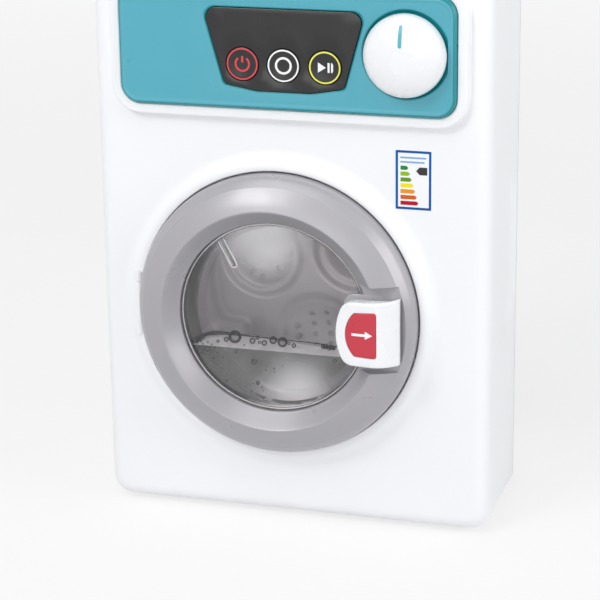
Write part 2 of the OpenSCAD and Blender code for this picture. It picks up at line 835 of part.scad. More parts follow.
function door_screw_places() = [for (a = [50, 130, 230, 310])
  [door_x, door_z] + (ring_r - 8.4) * [cos(a), sin(a)]];

module door_frame() {
  ledge = lens_d + lens_t + seal_t + flange_t + 0.1;
  color([0.5, 0.5, 0.52]) difference() {
    union() {
      turned(door_x, door_z, [[window_r + 0.4, frame_back], [window_r + 0.4, ledge], [collar_in, ledge],
        [collar_in, lens_d + 0.1], [collar_out, lens_d + 0.1], [collar_out, frame_front],
        [ring_r - 0.4, frame_front], [ring_r - 0.4, frame_back]]);
      slab(frame_front, frame_back - 0.2) translate([hinge_x, door_z - knuckle_half])
        square([8, 2 * knuckle_half]);
      translate([hinge_x, front_y - hinge_out, door_z])
        cylinder(r = knuckle_r, h = 2 * knuckle_half, center = true);
    }
    translate([hinge_x, front_y - hinge_out, door_z])
      cylinder(r = pin_r + run_fit, h = 3 * knuckle_half, center = true);
    rod(door_x + latch_x, door_z, spindle_r + run_fit, lens_d - 1, 1);
    for (p = door_screw_places()) {
      rod(p[0], p[1], small_screw_r + 0.2, -4, 1);
    }
  }
}

module window_lens() {
  color([0.9, 0.95, 1, 0.35]) {
    rod(door_x, door_z, flange_r, lens_d, lens_d + lens_t);
    // Moulded rib behind the upper left of the lens
    slab(lens_d + lens_t - eps, lens_d + lens_t + 5) translate([door_x, door_z])
      bar([-24.6, 33.6], [-18.6, 22.2], 1.6);
  }
}

module window_seal() {
  color("black") pipe(door_x, door_z, flange_r, window_r - 0.2, lens_d + lens_t, lens_d + lens_t + seal_t);
}

// Bowl outline from the flange to beyond its slanted back, drawn in by t
function bowl_side(t) = let (r = window_r - t)
  [[r - 0.2, 0], [r - 1.4, bowl_end * 0.4], [r - 5, bowl_end], [0, bowl_end]];

// All that lies in front of the bowl's slanted back, drawn in by t
module before_bowl_back(t) {
  reach = window_r + 10;
  translate([door_x, front_y, door_z - reach]) linear_extrude(height = 2 * reach)
    polygon([[-reach, -20], [reach, -20], [reach, bowl_d - t - reach * bowl_slant],
      [-reach, bowl_d - t + reach * bowl_slant]]);
}

module window_bowl() {
  f = lens_d + lens_t + seal_t;
  color([0.9, 0.95, 1, 0.35]) difference() {
    intersection() {
      turned(door_x, door_z, concat([[0, f], [flange_r, f], [flange_r, f + flange_t],
        [window_r, f + flange_t]], bowl_side(0)));
      before_bowl_back(0);
    }
    intersection() {
      turned(door_x, door_z, concat([[0, f - 1], [window_r - bowl_t, f - 1]], bowl_side(bowl_t)));
      before_bowl_back(bowl_t);
    }
  }
}

module water_fill() {
  f = lens_d + lens_t + air;
  t = bowl_t + 0.1;
  color([0.85, 0.9, 0.95, 0.4]) intersection() {
    turned(door_x, door_z, concat([[0, f], [window_r - t, f]], bowl_side(t)));
    before_bowl_back(t);
    slab(f - 1, bowl_end + 1) translate([door_x - tub_r, door_z - water_drop - tub_r])
      square([2 * tub_r, tub_r]);
  }
}

module door_screws() {
  color("silver") for (p = door_screw_places()) {
    screw(p[0], p[1], small_screw_r, frame_back, 9, 2.4, 1.6);
  }
}

// Handle outline: round towards the window, square towards the hinge-free side
module handle_outline() {
  x = door_x + latch_x;
  intersection() {
    soft_rect(x - handle_in, door_z - handle_h / 2, x - handle_in + handle_w, door_z + handle_h / 2, 2.5);
    translate([x - handle_in + handle_r, door_z]) {
      circle(r = handle_r);
      translate([0, -handle_r]) square([30, 2 * handle_r]);
    }
  }
}

module patch_outline(grow) {
  x = door_x + latch_x - handle_in + 4.2;
  h = patch_h / 2 + grow;
  soft_polygon([[x + 4 - grow, door_z - h], [x + patch_w + grow, door_z - h],
    [x + patch_w + grow, door_z + h], [x + 4 - grow, door_z + h], [x - grow, door_z + h * 0.5],
    [x - grow, door_z - h * 0.5]], [2, 1.2, 1.2, 2, 5, 5]);
}

module handle() {
  x = door_x + latch_x;
  back = pocket_d - air - 0.1;
  left = x - handle_in - 1;
  right = x - handle_in + handle_w;
  color("white") difference() {
    intersection() {
      slab(-handle_out, back) handle_outline();
      translate([0, 0, door_z - handle_h]) linear_extrude(height = 2 * handle_h)
        polygon([[left, front_y + back], [left, front_y - handle_out + 2.4],
          [left + 3, front_y - handle_out + 0.4], [x + 1, front_y - handle_out],
          [x + 5, front_y - handle_out + 1.2], [x + 8.5, front_y - handle_out + 4],
          [right, front_y - handle_out + 8.6], [right, front_y + back]]);
    }
    slab(-handle_out - 1, -handle_out + 1.4) patch_outline(seat_fit);
    rod(x, door_z, spindle_r + 0.03, back - 7, back + 1);
  }
}

module handle_patch() {
  color([0.78, 0.24, 0.29]) slab(-handle_out + 0.1, -handle_out + 1.4) patch_outline(0);
}

module latch_spindle() {
  x = door_x + latch_x;
  color("gray") difference() {
    rod(x, door_z, spindle_r, pocket_d - air - 7, cam_d + cam_t);
    rod(x, door_z, small_screw_r + run_fit, cam_d + cam_t - 8, cam_d + cam_t + 1);
  }
}

module latch_cam() {
  x = door_x + latch_x;
  color("gray") difference() {
    slab(cam_d, cam_d + cam_t) {
      translate([x, door_z]) circle(r = spindle_r + 2.5);
      translate([x + nose_len - 2, door_z]) circle(r = 2);
      translate([x, door_z]) polygon([[0, -4.4], [nose_len - 2, -2], [nose_len - 2, 2], [0, 4.4]]);
    }
    rod(x, door_z, spindle_r + 0.03, cam_d - 1, cam_d + cam_t + 1);
  }
}

module spindle_screw() {
  color("silver") screw(door_x + latch_x, door_z, small_screw_r, cam_d + cam_t, 6, spindle_r + 1.2, 1.4);
}

module drum_barrel() {
  t = drum_wall;
  color([0.78, 0.78, 0.8]) turned(door_x, door_z, [[mouth_r, drum_front], [drum_r, drum_front],
    [drum_r, drum_back - 2], [drum_r - t, drum_back - 2], [drum_r - t, drum_front + t],
    [mouth_r, drum_front + t]]);
}

// Directions of the three dishes, and a place given along and across one of them
dish_turns = [for (a = [30, 150, 270]) a + drum_rest];
function by_dish(a, out, side) =
  [door_x, door_z] + out * [cos(a), sin(a)] + side * [-sin(a), cos(a)];

// Drum back: plate on the shaft, hub, and the inner face with its three dishes
module drum_back_plate() {
  t = 1.6;
  deep = web_d + dish_deep;
  color([0.7, 0.7, 0.72]) difference() {
    union() {
      turned(door_x, door_z, [[0, web_d], [drum_r - drum_wall - 0.05, web_d],
        [drum_r - drum_wall - 0.05, web_d + t], [5.5, web_d + t], [5.5, drum_back - 2],
        [drum_r, drum_back - 2], [drum_r, drum_back], [7, drum_back], [7, drum_back + 3],
        [0, drum_back + 3]]);
      for (a = dish_turns, p = [by_dish(a, dish_reach, 0)]) {
        turned(p[0], p[1], [[0, web_d], [dish_r + t, web_d], [dish_r + t - 0.8, web_d + 4],
          [dish_r + t - 5, deep + t - 1], [0, deep + t]]);
      }
    }
    for (a = dish_turns, p = [by_dish(a, dish_reach, 0)]) {
      turned(p[0], p[1], [[0, web_d - 1], [dish_r, web_d - 1], [dish_r, web_d],
        [dish_r - 0.8, web_d + 4], [dish_r - 5, deep - 1], [0, deep]]);
    }
    rod(door_x, door_z, shaft_r + 0.02, drum_back - 3, drum_back + 4);
    // Drain holes in the dishes
    for (a = dish_turns, row = [-9, -3.5, 2, 7.5], side = [-11.4, -3.8, 3.8, 11.4]) {
      if (norm([row, side]) < 13) {
        p = by_dish(a, dish_reach + row, side);
        rod(p[0], p[1], drain_r, web_d + 2, deep + t + 1);
      }
    }
  }
}

module drum_paddles() {
  top = drum_r - drum_wall - paddle_h;
  color([0.7, 0.7, 0.72]) for (a = dish_turns) {
    slab(drum_front + 3, web_d) translate([door_x, door_z]) rotate(a + 60) {
      intersection() {
        polygon([[top, -3], [drum_r, -8], [drum_r, 8], [top, 3]]);
        circle(r = drum_r - drum_wall - 0.1);
      }
    }
  }
}

module drum_shaft() {
  color("silver") difference() {
    rod(door_x, door_z, shaft_r, drum_back - 3, gear_d + gear_t + 1);
    pipe(door_x, door_z, shaft_r + 1, shaft_r - 0.5, tub_d + bush_len + 0.6, tub_d + bush_len + 1.6);
  }
}

module shaft_clip() {
  color("dimgray") difference() {
    pipe(door_x, door_z, shaft_r + 2.4, shaft_r - 0.4, tub_d + bush_len + 0.7, tub_d + bush_len + 1.5);
    slab(tub_d, tub_d + bush_len + 3) translate([door_x - 1.5, door_z]) square([3, 10]);
  }
}

// Half the angle that an involute tooth covers at radius r, degrees
function inv_deg(a) = tan(a) * 180 / PI - a;
function tooth_half(teeth, r) =
  let (pitch = gear_m * teeth / 2, base = pitch * cos(20), slack = 0.1 / pitch * 180 / PI)
  90 / teeth - slack + inv_deg(20) - (r > base ? inv_deg(acos(base / r)) : 0);
function gear_outline(teeth) =
  let (pitch = gear_m * teeth / 2, base = pitch * cos(20), root = pitch - 1.15 * gear_m,
    tip = pitch + 0.8 * gear_m, low = max(base, root + 0.05), steps = 4,
    radii = [root, for (i = [0:steps]) low + (tip - low) * i / steps])
  [for (k = [0:teeth - 1]) each concat(
    [for (r = radii) r * [cos(360 * k / teeth - tooth_half(teeth, r)),
      sin(360 * k / teeth - tooth_half(teeth, r))]],
    [for (i = [len(radii) - 1:-1:0]) radii[i] * [cos(360 * k / teeth + tooth_half(teeth, radii[i])),
      sin(360 * k / teeth + tooth_half(teeth, radii[i]))]])];

module drum_gear() {
  color("ivory") difference() {
    slab(gear_d, gear_d + gear_t) translate([door_x, door_z]) rotate(motor_angle)
      polygon(gear_outline(gear_teeth));
    rod(door_x, door_z, shaft_r + 0.02, gear_d - 1, gear_d + gear_t + 1);
  }
}

module motor_pinion() {
  color("ivory") difference() {
    slab(gear_d, gear_d + gear_t) translate(motor_at) rotate(motor_angle + 180 + 180 / pinion_teeth)
      polygon(gear_outline(pinion_teeth));
    rod(motor_at[0], motor_at[1], motor_shaft_r + 0.02, gear_d - 1, gear_d + gear_t + 1);
  }
}

module motor_shaft() {
  color("silver") rod(motor_at[0], motor_at[1], motor_shaft_r, gear_d - 0.5, bracket_d + bracket_t + 7);
}

module battery_cover() {
  cover_w = box_w + 6 - 2 * air;
  z0 = battery_z - box_h / 2 - 3 + air;
  z1 = battery_z + box_h / 2 + 3 + cover_tab - air;
  color("white") difference() {
    union() {
      slab(body_d - cover_t, body_d) soft_rect(-cover_w / 2, z0, cover_w / 2, z1, 3);
      slab(inner_back - 0.4, body_d - cover_t) difference() {
        translate([-box_w / 2 + box_wall + air, battery_z - box_h / 2 + box_wall + air])
          square([box_w - 2 * (box_wall + air), box_h - 2 * (box_wall + air)]);
        translate([-box_w / 2 + 2 * box_wall + air, battery_z - box_h / 2 + 2 * box_wall + air])
          square([box_w - 2 * (2 * box_wall + air), box_h - 2 * (2 * box_wall + air)]);
      }
    }
    rod(0, battery_z + box_h / 2 + 3 + cover_tab / 2, screw_r + 0.02, inner_back, body_d + 1);
  }
}

module cover_screw() {
  z = battery_z + box_h / 2 + 3 + cover_tab / 2;
  color("silver") {
    rod(0, z, screw_r, inner_back - 4, body_d - 0.4);
    pipe(0, z, screw_r + 0.02, 0, body_d - 0.4 - eps, body_d - 0.1);
  }
}

front_shell();
rear_shell();
foot_pads();
case_screws();
control_panel();
display_window();
circuit_board();
tact_switches();
dial_switch();
board_screws();
info_label();
hinge_bracket();
hinge_pin();
catch_spring();
tub();
tub_screws();
bearing_bush();
motor_bracket();
bracket_screws();
motor();
motor_screws();
battery_box();
battery_cells();
contact_springs();
speaker();
door_ring();
door_frame();
window_lens();
window_seal();
window_bowl();
water_fill();
door_screws();
handle();
handle_patch();
latch_spindle();
latch_cam();
spindle_screw();
drum_barrel();
drum_back_plate();
drum_paddles();
drum_shaft();
shaft_clip();
drum_gear();
motor_shaft();
motor_pinion();
program_knob();
knob_clip();
push_button(-1);  // button_left
push_button(0);  // button_middle
push_button(1);  // button_right
battery_cover();
cover_screw();
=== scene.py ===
from math import asin, atan2, cos, degrees, dist, hypot, pi, radians, sin, sqrt, tan

import bmesh
import bpy
import numpy as np
from mathutils import Matrix, Vector, kdtree
from mathutils.geometry import delaunay_2d_cdt


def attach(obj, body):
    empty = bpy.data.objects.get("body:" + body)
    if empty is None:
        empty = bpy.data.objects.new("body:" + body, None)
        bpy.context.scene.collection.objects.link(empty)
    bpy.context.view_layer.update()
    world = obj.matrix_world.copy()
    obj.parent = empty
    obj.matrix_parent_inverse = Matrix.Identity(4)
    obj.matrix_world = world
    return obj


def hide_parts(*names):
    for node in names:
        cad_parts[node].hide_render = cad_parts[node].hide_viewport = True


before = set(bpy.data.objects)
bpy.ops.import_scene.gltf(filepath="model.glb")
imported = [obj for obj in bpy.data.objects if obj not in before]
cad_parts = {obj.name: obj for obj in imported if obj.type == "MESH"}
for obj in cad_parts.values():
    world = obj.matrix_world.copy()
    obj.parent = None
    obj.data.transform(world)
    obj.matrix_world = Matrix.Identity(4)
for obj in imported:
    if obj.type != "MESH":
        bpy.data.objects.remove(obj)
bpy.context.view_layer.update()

# Lengths are millimetres; X is across, Z is up, and a depth is measured behind the front face
MM = 0.001
FRONT_Y = -62.6
DOOR = DOOR_X, DOOR_Z = -5.5, 102.048
LATCH_X = DOOR_X + 50.5
HALF_W, LOW_Z, HIGH_Z = 93.0, 2.0, 262.0
EDGE_R, CORNER_R = 7, 10.0
LIP_R = 77.4
PANEL_Z, PANEL_H, PANEL_HALF, PANEL_R = 197.7, 54.0, 78.0, 9
PANEL_FRONT = -6.2
KNOB, KNOB_HOLE_R = (55.7, 225.6), 20.2
BUTTON_Z, BUTTON_HOLE_R = 218.3, 7.95
BUTTONS = (("left", -19.1), ("middle", 0.0), ("right", 19.1))
LENS_D = -9.6
# The bowl's radius, its rim's depth and how square its section is
BOWL_R, BOWL_RIM, BOWL_POWER = 43.5, -6.9, 4.6
WATER_Z = -16.9

# Painted glow: places where extra haze brightens the bowl, standing in for soft highlights; place, reach and
# extra share
PAINTED_GLOWS = (((DOOR_X - 13, FRONT_Y + 2, DOOR_Z + 38), 33, 0.95),
         ((DOOR_X + 6, FRONT_Y + 1, DOOR_Z - 44), 30, 0.85))
MIST_AND_PAINTED_GLOW = (0.98, 0.965, 0.98, 1)
GLOSS_SPREAD = 0.06
AMBIENT = 0.27
# The camera's place, its azimuth, height and roll in degrees, and its focal length in picture points
CAMERA = Vector((289.33, -982.36, 410.70))
CAMERA_ANGLES = (17.22, 17.43, -0.77)
FOCUS, PICTURE, SENSOR = 2202.0, 600, 36.0


# Materials

def srgb(color):
    """A display colour from 0 to 255 as a linear one."""
    shares = [c / 255 for c in color]
    return tuple(((c + 0.055) / 1.055) ** 2.4 if c > 0.04 else c / 12.92 for c in shares) + (1.0,)


def shade(color, k):
    return tuple(min(1.0, c * k) for c in color[:3]) + (1.0,)


def put(tree, kind, inputs=None, out=0, **settings):
    """An output of a new shader node, whose inputs are set to values or linked to other outputs."""
    node = tree.nodes.new("ShaderNode" + kind)
    for key, value in settings.items():
        setattr(node, key, value)
    for key, value in (inputs or {}).items():
        if isinstance(value, bpy.types.NodeSocket):
            tree.links.new(value, node.inputs[key])
        else:
            node.inputs[key].default_value = value
    return node.outputs[out] if node.outputs else None


def new_material(name):
    material = bpy.data.materials.new(name)
    material.use_nodes = True
    material.node_tree.nodes.clear()
    return material, material.node_tree


def finished(material, surface):
    put(material.node_tree, "OutputMaterial", {"Surface": surface})
    return material


def placed(tree):
    """The place on the object, in metres."""
    return put(tree, "TexCoord", out="Object")


def noise(tree, scale, detail=3.0):
    return put(tree, "TexNoise", {"Scale": scale, "Detail": detail, "Vector": placed(tree)}, "Fac")


def ranged(tree, source, low, high, start=0.3, end=0.7, kind="LINEAR"):
    """The source's span from start to end, mapped to low and high."""
    spans = {"Value": source, "From Min": start, "From Max": end, "To Min": low, "To Max": high}
    return put(tree, "MapRange", spans, interpolation_type=kind)


def maths(tree, operation, a, b, clamp=False):
    return put(tree, "Math", {0: a, 1: b}, operation=operation, use_clamp=clamp)


def tinted(tree, factor, dark, light):
    return put(tree, "Mix", {"Factor": factor, "A": dark, "B": light}, "Result", data_type="RGBA")


def blend(tree, share, first, second):
    """A mix of two shaders, with the given share of the second."""
    return put(tree, "MixShader", {0: share, 1: first, 2: second})


def plastic(name, color, rough, vary, metal=0.0, grain=700.0, bump=0.05, bevel=0.0, specular=0.5,
            flake=0.0, hollow_shade_reach=0.0):
    """Moulded plastic or metal: mottled colour, uneven gloss and a fine moulded grain."""
    material, tree = new_material(name)
    color = srgb(color)
    mottle = ranged(tree, noise(tree, 26.0, 4.0), 0.0, 1.0)
    if flake:
        fine = noise(tree, 5200.0, 1.0)
        mottle = put(tree, "Mix", {"Factor": flake, "A": mottle, "B": fine}, "Result")
    hue = tinted(tree, mottle, shade(color, 1 - vary), shade(color, 1 + vary))
    if hollow_shade_reach:
        # Painted shade: the colour is darkened where ambient occlusion finds hollows
        painted_hollow_shade = put(tree, "AmbientOcclusion", {"Distance": hollow_shade_reach * MM}, "AO", samples=8, only_local=True)
        hue = tinted(tree, ranged(tree, painted_hollow_shade, 0.0, 1.0, 0.35, 0.95), shade(color, 0.55), hue)
    relief = {"Strength": bump, "Distance": 0.1 * MM, "Height": noise(tree, grain, 2.0)}
    if bevel:
        relief["Normal"] = put(tree, "Bevel", {"Radius": bevel * MM}, samples=4)
    gloss = ranged(tree, noise(tree, 90.0, 5.0), rough - GLOSS_SPREAD / 2, rough + GLOSS_SPREAD)
    shader = put(tree, "BsdfPrincipled", {
        "Base Color": hue, "Metallic": metal, "Specular IOR Level": specular, "Roughness": gloss,
        "Normal": put(tree, "Bump", relief)})
    return finished(material, shader)


def ray(tree, kind):
    return put(tree, "LightPath", out=f"Is {kind} Ray")


def lit_through(tree, factor):
    """The factor for camera and gloss rays, and 0 for shadow and diffuse rays, so that light passes."""
    blind = maths(tree, "ADD", ray(tree, "Shadow"), ray(tree, "Diffuse"), clamp=True)
    return maths(tree, "MULTIPLY", factor, maths(tree, "SUBTRACT", 1.0, blind))


def with_painted_glow(tree, amount, painted_glows):
    """The amount of haze, with painted glow added near the given places: extra haze there stands in for
    highlights.
    """
    for where, reach, extra in painted_glows:
        ends = {0: placed(tree), 1: [c * MM for c in where]}
        gap = put(tree, "VectorMath", ends, "Value", operation="DISTANCE")
        glow_share = ranged(tree, gap, extra, 0.0, 0.0, reach * MM, "SMOOTHERSTEP")
        amount = maths(tree, "ADD", amount, glow_share, clamp=True)
    return amount


def clear(name, tint, ior=1.47, rough=0.02, ripple=0.0, scale=60.0, haze=0.0, painted_glows=()):
    """Clear plastic or water: light passes straight through, and Fresnel adds the gloss."""
    material, tree = new_material(name)
    body = put(tree, "BsdfTransparent", {"Color": (*tint, 1)})
    if haze:
        amount = with_painted_glow(tree, ranged(tree, noise(tree, 45.0, 6.0), haze * 0.5, haze * 1.5), painted_glows)
        scatter = put(tree, "BsdfDiffuse", {"Color": MIST_AND_PAINTED_GLOW})
        body = blend(tree, lit_through(tree, amount), body, scatter)
    uneven = noise(tree, scale)
    waves = put(tree, "Bump", {"Strength": ripple, "Distance": 0.2 * MM, "Height": uneven})
    gloss = put(tree, "BsdfGlossy", {"Roughness": ranged(tree, uneven, rough, rough * 2.5), "Normal": waves})
    fresnel = put(tree, "Fresnel", {"IOR": ior, "Normal": waves})
    return finished(material, blend(tree, lit_through(tree, fresnel), body, gloss))


def veiled(name, tint, cover, color, rough=0.15, painted_glows=()):
    """Clear stuff that also scatters some light, or darkens, at a given share."""
    material, tree = new_material(name)
    through = put(tree, "BsdfTransparent", {"Color": (*tint, 1)})
    solid = put(tree, "BsdfPrincipled", {"Base Color": srgb(color), "Roughness": rough})
    share = ranged(tree, noise(tree, 240.0), cover * 0.85, min(1.0, cover * 1.15))
    return finished(material, blend(tree, lit_through(tree, with_painted_glow(tree, share, painted_glows)), through, solid))


def bubble_glass(name):
    """A bubble: clear in the middle, with painted shade darkening it towards its rim, and a small highlight.
    """
    material, tree = new_material(name)
    through = put(tree, "BsdfTransparent")
    # Painted shade: a dark rim colour that the facing weight blends in towards the bubble's edge
    rim = put(tree, "BsdfPrincipled", {"Base Color": srgb((30, 28, 32)), "Roughness": 0.08})
    facing = put(tree, "LayerWeight", {"Blend": 0.5}, "Facing")
    uneven = maths(tree, "MULTIPLY", facing, ranged(tree, noise(tree, 500.0, 2.0), 0.9, 1.1))
    share = lit_through(tree, ranged(tree, uneven, 0.14, 1.0, 0.12, 0.34))
    return finished(material, blend(tree, share, through, rim))


# Plastics and metals give their name, colour, roughness and mottling, then what else they have
M = {
    "white": plastic("body_white_gloss", (241, 242, 244), 0.34, 0.006, bump=0.03, bevel=0.35),
    "white_skin": plastic("body_white_skin", (241, 242, 244), 0.34, 0.006, bump=0.03),
    "handle": plastic("handle_white_gloss", (238, 239, 241), 0.26, 0.005, bump=0.02),
    "ring": plastic("ring_grey_satin", (168, 166, 170), 0.3, 0.012, metal=0.15, bump=0.02, flake=0.3,
                    specular=0.42),
    "frame": plastic("frame_grey_matt", (182, 180, 184), 0.42, 0.02, bevel=0.3),
    "teal": plastic("panel_teal_gloss", (74, 164, 182), 0.3, 0.012, bump=0.02, specular=0.6),
    # Darker copy of the panel teal, used as painted shade on edges and recesses
    "teal_deep": plastic("panel_teal_painted_shade", (16, 134, 142), 0.28, 0.02, bump=0.02),
    "black": plastic("display_black_gloss", (30, 30, 32), 0.22, 0.06, bump=0.02, bevel=0.2),
    "red": plastic("patch_red_gloss", (196, 52, 68), 0.3, 0.02, bump=0.03),
    "rubber": plastic("foot_rubber", (70, 70, 74), 0.75, 0.1, bump=0.3, grain=1500, bevel=0.5),
    "steel": plastic("screw_steel", (190, 190, 194), 0.28, 0.05, metal=1.0, bump=0.08, bevel=0.1),
    "dark_steel": plastic("dark_steel", (70, 70, 74), 0.4, 0.08, metal=1.0, bump=0.1, bevel=0.1),
    "board": plastic("board_green", (30, 92, 52), 0.4, 0.12, bump=0.15, grain=1800),
    "switch_black": plastic("switch_black", (36, 36, 38), 0.5, 0.08, bevel=0.2),
    "switch_grey": plastic("switch_grey", (120, 120, 124), 0.5, 0.05, bevel=0.2),
    "paper": plastic("label_paper", (240, 242, 245), 0.45, 0.01, bump=0.06, grain=2500),
    "tub": plastic("tub_grey", (214, 214, 218), 0.45, 0.03, bevel=0.3),
    "bronze": plastic("sintered_bronze", (176, 130, 70), 0.45, 0.12, metal=1.0, bump=0.3, grain=2600),
    "dark": plastic("moulded_dark", (60, 60, 64), 0.5, 0.06, bevel=0.3),
    "cell": plastic("cell_wrap", (190, 150, 82), 0.35, 0.05, metal=0.6, bevel=0.3),
    "speaker": plastic("speaker_dark", (50, 50, 54), 0.7, 0.08, bump=0.2, bevel=0.3),
    # The drum's dishes and grooves get painted shade from ambient occlusion
    "drum": plastic("drum_silver", (232, 227, 232), 0.42, 0.03, metal=0.35, bump=0.03, flake=0.3,
                    hollow_shade_reach=9.0),
    "drum_back": plastic("drum_barrel_silver", (222, 218, 222), 0.38, 0.025, metal=0.15, bump=0.03,
                         flake=0.4, bevel=0.3),
    "ivory": plastic("gear_acetal", (232, 226, 208), 0.4, 0.03, bevel=0.15),
    "seal": plastic("window_seal_rubber", (104, 101, 105), 0.6, 0.08, bump=0.2, grain=1500),
    "lens": clear("lens_clear", (0.995, 0.995, 0.995), ripple=0.01),
    # The bowl's haze and side wall carry painted glow near the glow places listed above
    "bowl": clear("bowl_clear", (0.988, 0.985, 0.988), ripple=0.03, rough=0.06, haze=0.025, painted_glows=PAINTED_GLOWS),
    "bowl_side": veiled("bowl_side_wall", (0.93, 0.92, 0.93), 0.14, (226, 222, 226), rough=0.25,
                        painted_glows=PAINTED_GLOWS),
    "water": clear("water_clear", (0.975, 0.972, 0.976), ior=1.15, ripple=0.04, scale=35.0, haze=0.05),
    # Painted reflection for the water's top
    "surface": veiled("water_surface", (0.95, 0.95, 0.955), 0.8, (236, 232, 236)),
    # Lens rim: the bead is a painted highlight and the groove painted shade
    "bead": veiled("lens_bead_painted_highlight", (0.97, 0.97, 0.97), 0.4, (240, 238, 240), rough=0.1),
    "groove": veiled("lens_groove_painted_shade", (0.88, 0.87, 0.88), 0.4, (140, 136, 142)),
    # Painted shade for the water's edge
    "meniscus": veiled("water_edge_painted_shade", (0.45, 0.44, 0.46), 0.62, (70, 68, 72)),
    "rib_painted_highlight": veiled("lens_rib_painted_highlight", (0.97, 0.97, 0.97), 0.75, (246, 245, 246), rough=0.1),
    "bubble": bubble_glass("bubble_film"),
    "mark_white": plastic("mark_white", (242, 242, 242), 0.4, 0.01),
    "mark_red": plastic("mark_red", (214, 58, 66), 0.4, 0.02),
    "mark_yellow": plastic("mark_yellow", (232, 232, 84), 0.4, 0.02),
    "mark_blue": plastic("mark_blue", (0, 84, 160), 0.45, 0.02, specular=0.2),
    "mark_ink": plastic("mark_ink", (30, 28, 30), 0.4, 0.05),
    "mark_pale": plastic("mark_pale_blue", (128, 168, 214), 0.45, 0.02),
}
BARS = ((32, 130, 52), (140, 182, 36), (96, 148, 34), (238, 222, 34), (228, 146, 34), (208, 92, 28),
        (180, 16, 28))
for i, color in enumerate(BARS):
    M[f"bar_{i}"] = plastic(f"bar_{i}", color, 0.45, 0.02, specular=0.2)


# Shape tools

def polar(cx, cz, r, a):
    """The point at an angle, in radians, of a circle."""
    return (cx + r * cos(a), cz + r * sin(a))


def arc(cx, cz, r, a0, a1, n):
    return [polar(cx, cz, r, radians(a0 + (a1 - a0) * i / n)) for i in range(n + 1)]


def circle(cx, cz, r, n):
    return arc(cx, cz, r, 0, 360 - 360 / n, n - 1)


def turn(n):
    """Evenly spaced angles round a full turn."""
    return [2 * pi * i / n for i in range(n)]


def soft_poly(points, radii, n=8):
    """Outline of a convex polygon with rounded corners, anticlockwise."""
    out = []
    for i, r in enumerate(radii):
        b = Vector(points[i])
        if r <= 0:
            out.append(tuple(b))
            continue
        p = (Vector(points[i - 1]) - b).normalized()
        q = (Vector(points[(i + 1) % len(points)]) - b).normalized()
        half = p.angle(q) / 2
        centre = b + (p + q).normalized() * r / sin(half)
        start = b + p * r / tan(half) - centre
        end = b + q * r / tan(half) - centre
        a0, a1 = (degrees(atan2(v.y, v.x)) for v in (start, end))
        out += arc(centre.x, centre.y, r, a0, a1 + (360 if a1 < a0 else 0), n)
    return out


def box_ring(x0, z0, x1, z1):
    return [(x0, z0), (x1, z0), (x1, z1), (x0, z1)]


def soft_rect(x0, z0, x1, z1, r, n=8):
    return soft_poly(box_ring(x0, z0, x1, z1), [r] * 4, n)


def panel_ring(t):
    """Outline of the control panel, moved outward by t."""
    return soft_rect(-PANEL_HALF - t, PANEL_Z - t, PANEL_HALF + t, PANEL_Z + PANEL_H + t, PANEL_R + t, 12)


def divided(ring, parts):
    """The closed ring with each edge split into as many parts as its length asks for."""
    out = []
    for i, a in enumerate(ring):
        b = ring[(i + 1) % len(ring)]
        k = parts(dist(a, b))
        out += [(a[0] + (b[0] - a[0]) * j / k, a[1] + (b[1] - a[1]) * j / k) for j in range(k)]
    return out


def spaced(ring, gap):
    return divided(ring, lambda length: max(1, round(length / gap)))


def grown(ring, t):
    """The outline moved outward by t along its own normals."""
    out = []
    for i, p in enumerate(ring):
        a, b = ring[i - 1], ring[(i + 1) % len(ring)]
        d = Vector((b[0] - a[0], b[1] - a[1])).normalized()
        out.append((p[0] + d.y * t, p[1] - d.x * t))
    return out


def behind(depth):
    """Puts a point of the front view at a depth, which is a number or a function of x and z."""
    return lambda x, z: (x, FRONT_Y + (depth(x, z) if callable(depth) else depth), z)


def at_depth(ring, depth):
    return [behind(depth)(x, z) for x, z in ring]


def at_door(x, d, z):
    """A point given from the door's centre and the front face."""
    return (DOOR_X + x, FRONT_Y + d, DOOR_Z + z)


def spline(points, steps=6):
    """A smooth line through the points."""
    out = []
    for i in range(len(points) - 1):
        p0, p1, p2 = points[max(i - 1, 0)], points[i], points[i + 1]
        p3 = points[min(i + 2, len(points) - 1)]
        for k in range(steps):
            t = k / steps
            out.append(tuple(0.5 * (2 * b + (c - a) * t + (2 * a - 5 * b + 4 * c - d) * t * t
                                    + (3 * b - a - 3 * c + d) * t ** 3)
                             for a, b, c, d in zip(p0, p1, p2, p3)))
    return out + [tuple(points[-1])]


def step(lo, hi, x):
    t = min(1.0, max(0.0, (x - lo) / (hi - lo)))
    return t * t * (3 - 2 * t)


def inside(ring, points):
    """Which of the points lie inside the closed ring."""
    x, z = np.array(points, float).T
    hit = np.zeros(len(x), bool)
    for i, (x1, z1) in enumerate(ring):
        x0, z0 = ring[i - 1]
        if z0 != z1:
            hit ^= ((z0 > z) != (z1 > z)) & (x < (x1 - x0) * (z - z0) / (z1 - z0) + x0)
    return hit


# Between a grid's rows, and between it and given points, as shares of its spacing
ROW_STEP, GRID_CLEARANCE = 0.866, 0.62


